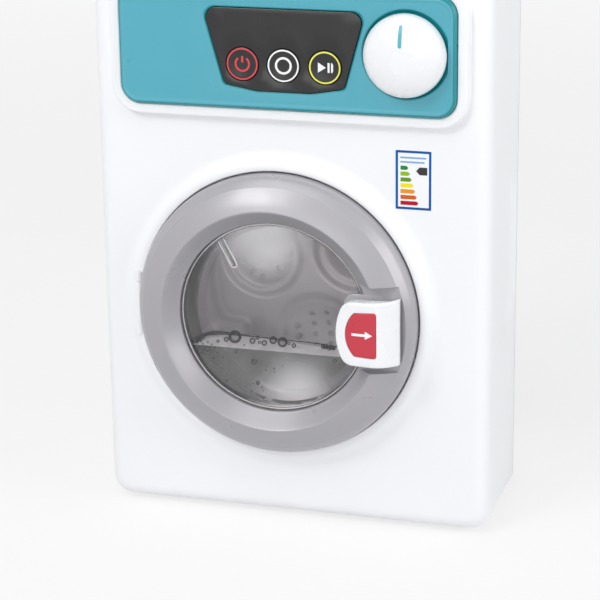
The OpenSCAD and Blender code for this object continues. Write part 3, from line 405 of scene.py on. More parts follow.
class Shape:
    """Collects points and faces of one piece, with a material index for each face."""

    def __init__(self):
        self.points, self.faces, self.paint = [], [], []

    def add(self, points, faces, paint=0):
        base = len(self.points)
        self.points += points
        self.faces += [tuple(base + i for i in f) for f in faces]
        self.paint += [paint] * len(faces)
        return self

    def strip(self, loops, paint=0, closed=True, skip=None):
        """Faces between each loop and the next; all loops have the same count."""
        n = len(loops[0])
        faces = []
        for k in range(len(loops) - 1):
            for i in range(n if closed else n - 1):
                if skip and skip(k, i):
                    continue
                j = (i + 1) % n
                faces.append((k * n + i, k * n + j, (k + 1) * n + j, (k + 1) * n + i))
        return self.add([p for loop in loops for p in loop], faces, paint)

    def cap(self, loop, paint=0):
        return self.add(list(loop), [tuple(range(len(loop)))], paint)

    def sheet(self, outer, holes, place, spacing=0.0, paint=0, lines=()):
        """A triangulated sheet inside one ring and outside others; place puts a plane point in space."""
        points, edges = [], []
        for ring in [outer, *holes, *lines]:
            base = len(points)
            points += [tuple(p) for p in ring]
            edges += [(base + i, base + (i + 1) % len(ring)) for i in range(len(ring))]

        def kept(where):
            hit = inside(outer, where)
            for ring in holes:
                hit &= ~inside(ring, where)
            return hit

        if spacing:
            tree = kdtree.KDTree(len(points))
            for i, p in enumerate(points):
                tree.insert((p[0], p[1], 0), i)
            tree.balance()
            us, vs = zip(*[p[:2] for p in outer])
            grid = []
            row, v = 0, min(vs)
            while v < max(vs):
                u = min(us) + (spacing / 2 if row % 2 else 0)
                while u < max(us):
                    grid.append((u, v))
                    u += spacing
                v += spacing * ROW_STEP
                row += 1
            points += [p for p, hit in zip(grid, kept(grid))
                       if hit and tree.find((p[0], p[1], 0))[2] > spacing * GRID_CLEARANCE]
        verts, _, tris, *_ = delaunay_2d_cdt([Vector(p) for p in points], edges, [], 0, 1e-6)
        middles = [(sum(verts[i].x for i in t) / 3, sum(verts[i].y for i in t) / 3) for t in tris]
        faces = [tuple(t) for t, hit in zip(tris, kept(middles)) if hit]
        return self.add([place(p.x, p.y) for p in verts], faces, paint)

    def lathe(self, profile, cx, cz, n, paint=0, skip=None):
        """A profile of radii and depths, turned round a place of the front view."""
        loops = [at_depth([polar(cx, cz, r, a) for a in turn(n)], d) for r, d in profile]
        return self.strip(loops, paint, skip=skip)

    def mesh(self, name, sharp=32.0, merge=0.004):
        mesh = bpy.data.meshes.new(name)
        mesh.from_pydata([(x * MM, y * MM, z * MM) for x, y, z in self.points], [], self.faces)
        mesh.polygons.foreach_set("material_index", self.paint)
        bm = bmesh.new()
        bm.from_mesh(mesh)
        bmesh.ops.remove_doubles(bm, verts=bm.verts, dist=merge * MM)
        loose = [v for v in bm.verts if not v.link_faces]
        bmesh.ops.delete(bm, geom=loose, context="VERTS")
        bmesh.ops.recalc_face_normals(bm, faces=bm.faces)
        bm.to_mesh(mesh)
        bm.free()
        mesh.update()
        smooth(mesh, sharp)
        return mesh


def linked(name, data):
    obj = bpy.data.objects.new(name, data)
    bpy.context.scene.collection.objects.link(obj)
    return obj


def smooth(mesh, sharp=32.0):
    mesh.shade_smooth()
    mesh.set_sharp_from_angle(angle=radians(sharp))


def piece(name, shape, body, paints, replaces="", sharp=40, merge=0.004):
    """Makes a piece from a shape or a mesh with its paints, ties it to its body and hides the CAD nodes it
    replaces.
    """
    mesh = shape.mesh(name, sharp, merge) if isinstance(shape, Shape) else shape
    mesh.name = name
    for paint in paints.split():
        mesh.materials.append(M[paint])
    obj = linked(name, mesh)
    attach(obj, body)
    if replaces:
        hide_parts(*replaces.split())


def carved(shape, cutters):
    """The shape's mesh after exact booleans with closed cutters."""
    base = linked("carve_base", shape.mesh("carve_base"))
    made = [base]
    for cutter in cutters:
        made.append(linked("carve_tool", cutter.mesh("carve_tool")))
        mod = base.modifiers.new("carve", "BOOLEAN")
        mod.object, mod.operation, mod.solver = made[-1], "DIFFERENCE", "EXACT"
    bpy.context.view_layer.update()
    mesh = bpy.data.meshes.new_from_object(base.evaluated_get(bpy.context.evaluated_depsgraph_get()))
    for obj in made:
        bpy.data.objects.remove(obj)
    smooth(mesh)
    return mesh


def plate(ring, back, front, edge, steps):
    """A flat plate with a rounded front edge, closed at the back."""
    loops = [at_depth(ring, back)]
    for k in range(steps + 1):
        a = pi / 2 * k / steps
        loops.append(at_depth(grown(ring, -edge * (1 - cos(a))), front + edge * (1 - sin(a))))
    return Shape().strip(loops).cap(loops[-1]).cap(loops[0])


def closed_slab(ring, d0, d1):
    loops = [at_depth(ring, d0), at_depth(ring, d1)]
    return Shape().strip(loops).cap(loops[0]).cap(loops[1])


# Front case

def body_ring(inset):
    """The body's outline, with points along the long edges so that the sides match their own sheets."""
    ring = soft_rect(-HALF_W + inset, LOW_Z + inset, HALF_W - inset, HIGH_Z - inset, CORNER_R - inset, 10)
    return divided(ring, lambda length: 40 if length > 120 else 1)


def front_case():
    shape = Shape()
    # Rounded front edge, then straight sides to the seam, which turns in
    loops = []
    steps = 10
    for a in [pi / 2 * k / steps for k in range(steps + 1)]:
        loops.append(at_depth(body_ring(EDGE_R * (1 - sin(a))), EDGE_R * (1 - cos(a))))
    depths = [12, 20, 28, 36, 44, 52, 57.3]
    outer = body_ring(0)
    loops += [at_depth(outer, d) for d in depths]
    loops += [at_depth(body_ring(t), d) for t, d in ((0.08, 57.6), (0.3, 57.82), (0.6, 57.9), (2.2, 57.9))]
    n = len(outer)

    def on_side(k, i):
        a, b = outer[i], outer[(i + 1) % n]
        return steps <= k < steps + len(depths) and abs(abs(a[0]) - HALF_W) < 1e-6 and abs(a[0] - b[0]) < 1e-6

    shape.strip(loops, skip=on_side)

    # Sides with their grip recess
    zs = sorted({round(z, 6) for x, z in outer if abs(x - HALF_W) < 1e-6})
    z0, z1 = zs[0], zs[-1]
    edge_depths = [EDGE_R] + depths
    border = [(d, z0) for d in edge_depths] + [(depths[-1], z) for z in zs[1:]]
    border += [(d, z1) for d in edge_depths[-2::-1]] + [(EDGE_R, z) for z in zs[-2:0:-1]]
    grip_d, grip_z, grip_r, grip_half, grip_depth = 37, DOOR_Z + 24, 17, 20, 2.0

    def grip_ring(t):
        r = grip_r + t
        return (arc(grip_d, grip_z + grip_half, r, 0, 180, 28)
                + arc(grip_d, grip_z - grip_half, r, 180, 360, 28))

    offsets = [2.2, 1.5, 0.9, 0.4, 0, -0.5, -1.1, -1.8, -2.6, -3.4]

    def grip_drop(d, z):
        t = hypot(d - grip_d, max(0, abs(z - grip_z) - grip_half)) - grip_r
        return grip_depth * (1 - step(offsets[-1], offsets[0], t))

    for side in (-1, 1):
        shape.sheet(border, [], lambda d, z: (side * (HALF_W - grip_drop(d, z)), FRONT_Y + d, z), spacing=4.0,
                    lines=[grip_ring(t) for t in offsets])

    # Frame round the control panel
    frame_line = [(6.2, 0), (5.7, -0.05), (5.35, -0.22), (5.12, -0.6), (5.04, -1.1), (5.0, -1.8),
                  (4.97, -2.8), (4.9, -3.25), (4.7, -3.62), (4.4, -3.87), (4.0, -3.98), (3.5, -4.0),
                  (0.9, -4.0), (0.5, -3.93), (0.25, -3.72), (0.15, -3.4), (0.15, -0.4), (-2.6, -0.4)]

    def foot(t, d):
        # The frame's top edge lies over the rounded front edge of the case
        w = step(4.95, 5.04, t)

        def drop(z):
            return EDGE_R - sqrt(EDGE_R ** 2 - min(EDGE_R, max(0.0, z - HIGH_Z + EDGE_R)) ** 2)

        return lambda x, z: d + w * drop(z)

    shape.strip([at_depth(panel_ring(t), foot(t, d)) for t, d in frame_line])

    # Raised lip, recess wall and recess floor, with the notch for the hinge
    lip = [(LIP_R, 0), (76.4, -0.03), (75.4, -0.16), (74.4, -0.42), (73.4, -0.86), (72.5, -1.4),
           (71.7, -1.94), (71, -2.36), (70.45, -2.62), (69.6, -2.88), (68.8, -2.98), (67.9, -3.0),
           (67.5, -2.97), (67.2, -2.83), (67.05, -2.6), (67, -2.3), (67, 3.05), (67, 8.4), (66.85, 8.8),
           (66.4, 9), (56.6, 9), (56.2, 9.15), (56, 9.5), (56, 11)]
    count = 288
    first, last = 9, 15
    notch = range(134, 154)
    shape.lathe(lip, *DOOR, count, skip=lambda k, i: first <= k <= last and i in notch)

    def at(i, r, d):
        a = 2 * pi * i / count
        return at_door(r * cos(a), d, r * sin(a))

    span = range(notch[0], notch[-1] + 2)
    wall = [(69.6, -2.88), (69.6, 1.1), (71.0, 1.1), (71.0, 3.05), (67, 3.05)]
    shape.strip([[at(i, r, d) for i in span] for r, d in wall], closed=False)
    for i in (span[0], span[-1]):
        shape.cap([at(i, r, d) for r, d in lip[first:last + 2]] + [at(i, r, d) for r, d in wall[:0:-1]])

    # Flat front between them
    holes = [panel_ring(frame_line[0][0]), circle(*DOOR, LIP_R, count)]
    shape.sheet(body_ring(EDGE_R), holes, behind(0), spacing=9.0)
    piece("case_front", shape, "root", "white_skin", "front_shell")


front_case()


# Control panel

def display_ring(grow, n=8):
    half = 27.7 + grow
    low, high = PANEL_Z + 11.5 - grow, PANEL_Z + 45.5 + grow
    top = half + (high - low) * tan(radians(27)) * 0.55
    return soft_poly([(-half, low), (-half * 0.45, low - 2.7), (half * 0.45, low - 2.7), (half, low),
                      (top, high), (-top, high)], [3, 14, 14, 3, 5, 5], n)


def control_panel():
    shape = Shape()
    f = PANEL_FRONT
    edge = [(-4.0, 0.4), (0, 0.4), (0, f + 2.3), (-0.06, f + 1.7), (-0.24, f + 1.15), (-0.55, f + 0.62),
            (-0.95, f + 0.2), (-1.4, f - 0.08), (-1.8, f - 0.18), (-2.2, f - 0.16), (-2.6, f - 0.08),
            (-3.1, f - 0.01), (-3.6, f)]
    # Painted shade: the rounded front edge is painted a darker teal, as are the groove round the display and
    # the recess ring round the knob
    shape.strip([at_depth(panel_ring(t), d) for t, d in edge[:8]], 1)
    shape.strip([at_depth(panel_ring(t), d) for t, d in edge[7:]])
    groove = [(0.9, f), (0.6, f + 0.05), (0.4, f + 0.2), (0.28, f + 0.5), (0.2, f + 1.3), (-1, f + 1.3)]
    shape.strip([at_depth(display_ring(t), d) for t, d in groove], 1)
    shape.lathe([(KNOB_HOLE_R, f), (19.8, f + 0.05), (19.5, f + 0.2), (19.35, f + 0.45), (19.2, f + 0.8),
                 (18.9, f + 0.95), (14, f + 0.95)], *KNOB, 96, paint=1)
    holes = [display_ring(groove[0][0]), circle(*KNOB, KNOB_HOLE_R, 96)]
    shape.sheet(panel_ring(edge[-1][0]), holes, behind(f), spacing=9.0)
    piece("panel_teal", shape, "root", "teal teal_deep", "control_panel")

    # Black display with a hole for each button
    shape = Shape()
    ring = display_ring(0.08, 10)
    rows = [(0, f + 1.25), (0, f + 0.1), (-0.05, f - 0.06), (-0.16, f - 0.16), (-0.34, f - 0.2)]
    shape.strip([at_depth(grown(ring, t), d) for t, d in rows])
    for _, x in BUTTONS:
        shape.lathe([(BUTTON_HOLE_R, f - 0.2), (7.86, f - 0.16), (7.8, f - 0.05), (7.8, f + 1.25)],
                    x, BUTTON_Z, 72)
    holes = [circle(x, BUTTON_Z, BUTTON_HOLE_R, 72) for _, x in BUTTONS]
    shape.sheet(grown(ring, rows[-1][0]), holes, behind(f - 0.2), spacing=5.0)
    piece("display_skin", shape, "root", "black", "display_window")


control_panel()


def washer(shape, cx, cz, inner, outer, depth, thick):
    """A printed ring: a flat band standing a little proud."""
    shape.lathe([(outer, depth), (outer, depth - thick), (inner, depth - thick), (inner, depth)], cx, cz, 72)


def flat_mark(shape, points, depth, thick, paint=0):
    loops = [at_depth(points, depth), at_depth(points, depth - thick)]
    shape.strip(loops, paint).cap(loops[1], paint)


def buttons():
    top, z = PANEL_FRONT - 0.4, BUTTON_Z
    for name, x in BUTTONS:
        profile = [(2, 3.2), (2, -3.3), (7.5, -3.3), (7.5, top + 0.5), (7.44, top + 0.26), (7.3, top + 0.1),
                   (7.05, top + 0.01), (6.5, top), (5.2, top + 0.12), (3, top + 0.3), (0, top + 0.36)]
        cap = Shape().lathe(profile, x, z, 72)
        piece(f"button_{name}_cap", cap, f"button_{name}_body", "black", f"button_{name}")
        marks = Shape()
        washer(marks, x, z, 6.5, 7.2, top + 0.02, 0.06)
        if name == "left":
            paint = "mark_red"
            stroke = soft_rect(x - 0.5, z + 0.6, x + 0.5, z + 3.6, 0.4, 4)
            flat_mark(marks, stroke, top + 0.36, 0.14)
            ring = arc(x, z, 3.6, 128, 412, 30) + arc(x, z, 2.7, 412, 128, 30)
            flat_mark(marks, ring, top + 0.34, 0.12)
        elif name == "middle":
            paint = "mark_white"
            washer(marks, x, z, 2.9, 3.9, top + 0.28, 0.12)
        else:
            paint = "mark_yellow"
            icon = Shape()
            play = [(x - 3.2, z - 2.3), (x + 0.4, z), (x - 3.2, z + 2.3)]
            bars = [box_ring(x + dx, z - 2.2, x + dx + 0.95, z + 2.2) for dx in (1.2, 2.8)]
            for mark in (play, *bars):
                flat_mark(icon, mark, top + 0.36, 0.14)
            piece("button_right_icon", icon, "button_right_body", "mark_white")
        piece(f"button_{name}_marks", marks, f"button_{name}_body", paint)


buttons()


def knob():
    base, front = PANEL_FRONT - 0.4, PANEL_FRONT - 11.4
    side = spline([(18.4, base - 0.5), (18.42, base - 2.0), (18.0, base - 4.2), (16.6, base - 6.6),
                   (14.2, base - 8.5), (10.6, base - 10.0), (6, base - 10.8), (0, front)], 6)
    shape = Shape().lathe([(0, base), (17.9, base), (18.25, base - 0.12)] + side, *KNOB, 96)
    piece("knob_dome", shape, "knob", "handle", "program_knob")

    # Pointer inlay that follows the dome
    def dome(x, z):
        r = dist((x, z), KNOB)
        for (r1, d1), (r0, d0) in zip(side, side[1:]):
            if r0 <= r <= r1:
                return d0 + (d1 - d0) * (r - r0) / max(1e-6, r1 - r0)
        return front

    ring = spaced(soft_rect(KNOB[0] - 0.8, KNOB[1] + 5, KNOB[0] + 0.8, KNOB[1] + 14.6, 0.75, 5), 1.0)
    shape = Shape()
    shape.strip([at_depth(ring, lambda x, z, d=d: dome(x, z) + d) for d in (0.2, -0.1)])
    shape.sheet(ring, [], behind(lambda x, z: dome(x, z) - 0.12), spacing=0.8)
    piece("knob_pointer", shape, "knob", "teal")


knob()


# Label

def label():
    x0, z1 = DOOR_X + 55.0, DOOR_Z + 79.7
    x1, z0 = x0 + 16.4, z1 - 27
    d, ink = -0.2, 0.03
    shape = Shape()
    outer, inner = (soft_rect(x0 + t, z0 + t, x1 - t, z1 - t, r, 3) for t, r in ((0.05, 0.3), (1.15, 0.1)))
    shape.strip([at_depth(outer, d), at_depth(outer, d - ink), at_depth(inner, d - ink), at_depth(inner, d)])
    for row, width in ((3.3, 12.0), (5.3, 11.2)):
        line = soft_rect(x0 + 2.1, z1 - row - 0.4, x0 + 2.1 + width, z1 - row + 0.4, 0.35, 3)
        flat_mark(shape, line, d, ink, 1)
    for i in range(len(BARS)):
        z = z1 - 8.0 - 2.67 * i
        tip = x0 + 5.9 + 0.78 * i
        flat_mark(shape, [(x0 + 2.3, z - 0.92), (tip - 0.9, z - 0.92), (tip, z), (tip - 0.9, z + 0.92),
                          (x0 + 2.3, z + 0.92)], d, ink, 3 + i)
    z = z1 - 9.2
    flat_mark(shape, [(x0 + 9.4, z), (x0 + 11.0, z - 1.75), (x0 + 14.5, z - 1.75), (x0 + 14.5, z + 1.75),
                      (x0 + 11.0, z + 1.75)], d, ink, 2)
    inks = " ".join(["mark_blue mark_pale mark_ink"] + [f"bar_{i}" for i in range(len(BARS))])
    piece("label_print", shape, "root", inks, sharp=60, merge=0.0005)


label()


# Door

RING_ROLL = [(66.4, -2.6), (66.4, -4.4), (66.38, -6.0), (66.1, -7.5), (65.5, -8.9), (64.7, -10.1),
             (63.8, -11.2), (62.9, -12.2), (62.15, -13.0)]
RING_BAND = [(62.15, -13.0), (60.6, -14.02), (58.8, -15.1), (56.8, -16.18), (54.8, -17.12), (52.85, -17.92)]


def door_ring():
    roll = spline(RING_ROLL, 4)[:-1]
    band = [(62.2, -12.95), (62.12, -13.04), (62.0, -13.13)] + spline(RING_BAND, 5)[1:]
    crest = [(52.5, -18.08), (52.2, -18.18), (51.9, -18.2), (51.68, -18.1), (51.45, -17.9)]
    cone = [(51.45 - 5.7 * t, -17.9 + 6.35 * t) for t in (0.25, 0.5, 0.75, 1.0)]
    profile = (roll + band + crest + cone + [(45.5, -11.32), (45.25, -11.12), (45.06, -10.85), (45, -10.5),
               (45, -9.6), (54, -9.6), (63.2, -9.6), (64.2, -6), (64.2, -2.6), (66.4, -2.6)])
    shape = Shape().lathe(profile, *DOOR, 256)
    half = 20.2
    pocket = closed_slab(box_ring(LATCH_X - 25, DOOR_Z - half, LATCH_X + 25, DOOR_Z + half), -21, -12.2)
    bore = closed_slab(circle(LATCH_X, DOOR_Z, 2.6, 32), -20, 0)
    piece("door_ring_skin", carved(shape, [pocket, bore]), "door", "ring", "door_ring")
    # Tab behind the handle
    ring = soft_poly(box_ring(LATCH_X - 16.4, DOOR_Z - 15.2, LATCH_X + 1.5, DOOR_Z + 15.2), [5, 0, 0, 5])
    piece("handle_tab", plate(ring, -10.2, -12.25, 0.5, 4), "door", "ring")


door_ring()


def rounded(ring, r, n):
    """The convex ring moved outward by r with round corners, evenly spaced round its turn."""
    points = np.array(ring, float)
    out = []
    for a in turn(n):
        best = points[int(np.argmax(points @ np.array((cos(a), sin(a)))))]
        out.append(polar(*best, r, a))
    return out


def evened(ring, gap):
    """The closed ring again, with points at equal distances along it."""
    spans = [dist(p, ring[(i + 1) % len(ring)]) for i, p in enumerate(ring)]
    count = round(sum(spans) / gap)
    out, i, done = [], 0, 0.0
    for k in range(count):
        want = sum(spans) * k / count
        while done + spans[i] < want:
            done += spans[i]
            i += 1
        t = (want - done) / max(spans[i], 1e-9)
        p, q = ring[i], ring[(i + 1) % len(ring)]
        out.append((p[0] + (q[0] - p[0]) * t, p[1] + (q[1] - p[1]) * t))
    return out


def handle():
    back = -12.6
    half_h, right = 15.4, LATCH_X + 10.7
    # Outline, round at the left and straight at the right
    soft, corner, bend = 6.0, 0.8, 30.0
    small = [p for p in circle(LATCH_X - 17.3 + bend, DOOR_Z, bend - soft, 360)
             if abs(p[1] - DOOR_Z) <= half_h - soft and p[0] < LATCH_X]
    small += [(right + 20, DOOR_Z - half_h + soft), (right + 20, DOOR_Z + half_h - soft)]
    left = [p for p in rounded(small, soft, 300) if p[0] < LATCH_X]
    left.sort(key=lambda p: atan2(p[1] - DOOR_Z, p[0] - LATCH_X - 2) % (2 * pi))
    base = spaced(left + arc(right - corner, DOOR_Z - half_h + corner, corner, 270, 360, 6)
                  + arc(right - corner, DOOR_Z + half_h - corner, corner, 0, 90, 6), 0.8)
    # A little lower towards the round end
    base = [(x, DOOR_Z + (z - DOOR_Z) * (1 - 0.045 * (right - x) / 28)) for x, z in base]

    def front(x):
        u = x - LATCH_X
        bow = 0.004 * (u + 1) ** 2 if u < -1 else 8.4 * ((u + 1) / 11.7) ** 2.2
        return -24.8 + bow

    def on_front(s):
        return lambda x, z: front(x) + s

    def loop(t, s):
        """The outline moved in by t, and s behind the front; at the right end it hardly moves in."""
        out = []
        for (x, z), (gx, gz) in zip(base, grown(base, -1)):
            held = 0.8 * step(right - 6, right - 0.5, x) if t < 2 else 0.85 * step(right - 8, right, x)
            k = t * (1 - held)
            px, pz = x + (gx - x) * k, z + (gz - z) * k
            depth = s if s < -5 else front(x) + s
            if s == 4.0:
                depth = max(front(x) + 1.9, -18.6)
            out.append((px, FRONT_Y + min(depth, back - 0.5 if s > -5 else back), pz))
        return out

    bend, soft = 14.6, 1.1
    a = degrees(asin(9.8 / bend))
    curve = arc(32.6 + bend, DOOR_Z, bend - soft, 180 - a, 180 + a, 16)
    patch = evened(rounded(curve + [(45.7, DOOR_Z - 9.5), (45.7, DOOR_Z + 9.5)], soft, 160), 0.8)
    shape = Shape()
    rows = [(3.5, back), (3.2, back - 0.1), (3.0, back - 0.4), (0.2, 4.0), (0.06, 1.8), (0, 1.3),
            (0.03, 0.95), (0.16, 0.55), (0.38, 0.24), (0.68, 0.06), (1.0, 0)]
    loops = [loop(t, s) for t, s in rows]
    shape.strip(loops)
    shape.cap(loops[0])
    rim = [(0.4, 0.0), (0.24, 0.06), (0.14, 0.2), (0.1, 0.5), (0.1, 1.3)]
    shape.strip([at_depth(grown(patch, t), on_front(s)) for t, s in rim])
    outline = [(x, z) for x, _, z in loops[-1]]
    shape.sheet(outline, [grown(patch, rim[0][0])], behind(on_front(0)), spacing=1.3)
    piece("handle_grip", shape, "handle", "handle", "handle", merge=0.02)

    shape = Shape()
    rows = [(0.02, 1.3), (0.02, 0.4), (-0.03, 0.2), (-0.12, 0.08), (-0.28, 0.04)]
    shape.strip([at_depth(grown(patch, t), on_front(s)) for t, s in rows])
    shape.sheet(grown(patch, rows[-1][0]), [], behind(on_front(0.04)), spacing=1.5)
    piece("patch_face", shape, "handle", "red", "handle_patch")

    # Painted shadow: a dark grey sheet on the handle's straight end, standing in for the shade under it
    shadow_sheet = Shape()
    x = right + 0.03
    shadow_sheet.cap([(x, FRONT_Y + d, DOOR_Z + z) for d, z in soft_rect(-15.7, -14.9, -12.65, 14.9, 0.5, 4)])
    piece("handle_end_painted_shadow", shadow_sheet, "handle", "seal", sharp=60)

    # Plain arrow in place of lettering
    cx, cz, t = 40.4, DOOR_Z + 0.2, 0.62
    tail, neck = cx - 4.8, cx + 1.4
    arrow = evened([(tail, cz - t), (neck, cz - t), (neck, cz - 1.9), (cx + 4.8, cz), (neck, cz + 1.9),
                    (neck, cz + t), (tail, cz + t)], 0.3)
    shape = Shape().strip([at_depth(arrow, on_front(s)) for s in (0.1, 0.01)])
    shape.sheet(arrow, [], behind(on_front(0.01)))
    piece("patch_arrow", shape, "handle", "mark_white", sharp=60)


handle()


def hinge_sleeves():
    """White tubes over the hinge's knuckle and ears."""
    x, d = -73.7, -1.4

    def sleeve(z0, z1):
        rows = ((1.2, z0), (1.98, z0), (2.06, z0 + 0.08), (2.06, z1 - 0.08), (1.98, z1), (1.2, z1))
        return [[(*polar(x, FRONT_Y + d, r, a), DOOR_Z + z) for a in turn(40)] for r, z in rows]

    piece("hinge_sleeve", Shape().strip(sleeve(-10.08, 10.08)), "door", "white")
    ears = Shape().strip(sleeve(10.18, 15.75)).strip(sleeve(-15.75, -10.18))
    piece("hinge_ear_sleeves", ears, "root", "white")


hinge_sleeves()


# Window, bowl and water

def tube(path, radius, n=10):
    """A round rod along the path, whose radius may change with the share of the length."""
    loops = []
    last = len(path) - 1
    for i, p in enumerate(path):
        d = (Vector(path[min(i + 1, last)]) - Vector(path[max(i - 1, 0)])).normalized()
        u = d.cross(Vector((0, 1, 0)) if abs(d.y) < 0.9 else Vector((1, 0, 0))).normalized()
        v = d.cross(u)
        r = radius(i / last)
        loops.append([tuple(Vector(p) + u * (r * cos(a)) + v * (r * sin(a))) for a in turn(n)])
    return Shape().strip(loops).cap(loops[0]).cap(loops[-1])


def window():
    f = LENS_D
    profile = [(0, f - 0.02), (20, f - 0.02), (40, f - 0.01), (43.6, f), (44.1, f + 0.03), (44.3, f + 0.16),
               (44.42, f + 0.4), (44.6, f + 0.5), (44.9, f + 0.5), (46.5, f + 0.5), (46.5, f + 1.8),
               (0, f + 1.8)]
    lens = Shape().lathe(profile, *DOOR, 160)
    piece("window_front", lens, "door", "lens", "window_lens", sharp=30)
    # Rim of the lens: a groove, a bead and a second groove, as thin rings just behind its face; the grooves
    # carry painted shade and the bead a painted highlight
    rings = (("window_groove_painted_shade", 44.42, 44.98, f + 0.46, "groove"),
             ("window_bead_painted_highlight", 43.72, 44.3, f + 0.3, "bead"),
             ("window_line_painted_shade", 43.36, 43.7, f + 0.5, "groove"))
    for name, inner, outer, depth, paint in rings:
        middle, half = (inner + outer) / 2, (outer - inner) / 2
        ring = [(middle + half * cos(a), depth + 0.3 * sin(a) - 0.1) for a in turn(8) + [0]]
        piece(name, Shape().lathe(ring, *DOOR, 160), "door", paint, sharp=80)
    # Moulded rib behind the lens, with a painted highlight: a whitish rod round its outline
    a, b = Vector((-25.4, 34.4)), Vector((-19.4, 23.4))
    d = (b - a).normalized()
    side = Vector((-d.y, d.x))
    w = 1.45
    angle = degrees(atan2(side.y, side.x))
    line = [tuple(a - side * w)] + arc(b.x, b.y, w, angle + 180, angle + 360, 10) + [tuple(a + side * w)]
    line = [(DOOR_X + x, DOOR_Z + z) for x, z in line]
    rows = [(0, f + 1.9), (0, f + 3.4), (-0.12, f + 4.1), (-0.42, f + 4.6), (-0.8, f + 4.8)]
    loops = [at_depth(grown(line, t), dd) for t, dd in rows]
    rib = Shape().strip(loops).cap(loops[-1]).cap(loops[0])
    piece("window_rib", rib, "door", "lens", sharp=50)
    bead = tube([(x, FRONT_Y + f + 2.3, z) for x, z in spline(line, 3)], lambda t: 0.3)
    piece("window_rib_painted_highlight", bead, "door", "rib_painted_highlight", sharp=80)


window()


def bowl_inner(x, z, grow=0.0):
    """Depth of the bowl's inner face at a place measured from the door centre; grow moves it outward."""
    q = min(1.0, hypot(x, z) / (BOWL_R + grow))
    floor = 7.2 - 0.17 * x + grow
    return BOWL_RIM + (floor - BOWL_RIM) * (1 - q ** BOWL_POWER) ** (1 / BOWL_POWER)


def bowl():
    shape = Shape()
    n, thick, split = 144, 1.4, 9
    radii = [0, 6, 12, 18, 23, 27.5, 31.5, 34.5, 37, 39, 40.5, 41.6, 42.4, 42.9, 43.2, 43.38, 43.46, 43.5]

    def loops(grow):
        sizes = [r * (BOWL_R + grow) / BOWL_R for r in radii]
        return [[at_door(x, bowl_inner(x, z, grow), z) for x, z in [polar(0, 0, r, a) for a in turn(n)]]
                for r in sizes]

    inner, outer = loops(0), loops(thick)
    for skin in (inner, outer):
        shape.strip(skin[:split + 1])
    shape.strip(inner[split:], 1)
    shape.strip(outer[split:], 0)
    shape.lathe([(BOWL_R, BOWL_RIM), (BOWL_R + thick, BOWL_RIM)], *DOOR, n)
    piece("window_bowl_skin", shape, "door", "bowl bowl_side", "window_bowl", sharp=30)


bowl()


def water():
    reach, front = 43.2, -7.5
    end = sqrt(reach ** 2 - WATER_Z ** 2)
    a = degrees(atan2(WATER_Z, end))
    wall = arc(0, 0, reach, 180 - a, 360 + a, 90)
    chord = [(end - 2 * end * i / 60, WATER_Z) for i in range(1, 60)]

    def back(x, z):
        return max(front + 0.2, bowl_inner(x, z) - 0.12)

    def place(share):
        """Puts a point at a share of the way from the water's front to its back."""
        return lambda x, z: at_door(x, front + share * (back(x, z) - front), z)

    shape = Shape()
    for share in (0, 1):
        shape.sheet(wall + chord, [], place(share), spacing=3.0)
    shape.strip([[place(share)(*p) for p in wall] for share in (0, 1)], closed=False)
    # Painted reflection: the water's top is a whitish, mostly opaque strip
    top = [wall[-1]] + chord + [wall[0]]
    shape.strip([[place(share)(*p) for p in top] for share in (0, 0.5, 1)], paint=1, closed=False)
    piece("water_body", shape, "door", "water surface", "water_fill", sharp=30)

    # Painted shade: a dark rod along the water's edge where it climbs the bowl, thicker towards the hinge
    path = [at_door(-end + 0.5 + 0.06 * k, BOWL_RIM + 1.1 * k, WATER_Z + 0.6) for k in range(10)]
    for i in range(4, 121):
        x = -end + 0.4 + (2 * end - 0.8) * (1 - cos(pi * i / 120)) / 2
        z = WATER_Z + 0.6 + 1.2 * step(-20, 25, x)
        path.append(at_door(x, back(x, z) - 0.75, z))
    edge = tube(path, lambda t: 0.26 + 0.7 * step(0.0, 0.05, t) * (1 - step(0.22, 0.4, t))
                + 0.1 * sin(41 * t) * (1 - t))
    piece("water_meniscus_painted_shade", edge, "door", "meniscus", sharp=80)


water()


def ball(shape, centre, r, rings=12):
    x, y, z = centre
    tilts = [pi * k / rings for k in range(rings + 1)]
    shape.strip([[(*polar(x, y, r * sin(a), b), z + r * cos(a)) for b in turn(2 * rings)] for a in tilts])


def camera_axes():
    az, el, roll = (radians(a) for a in CAMERA_ANGLES)
    back = Vector((sin(az) * cos(el), -cos(az) * cos(el), sin(el)))
    right = Vector((cos(az), sin(az), 0))
    up = right.cross(-back)
    return (right * cos(roll) + up * sin(roll), up * cos(roll) - right * sin(roll), back)


def seen_at(px, py, axis, value):
    """The point with that y or z which shows at a place of the picture."""
    side, top, back = camera_axes()
    ray = side * (px - PICTURE / 2) + top * (PICTURE / 2 - py) - back * FOCUS
    return CAMERA + ray * ((value - CAMERA[axis]) / ray[axis])


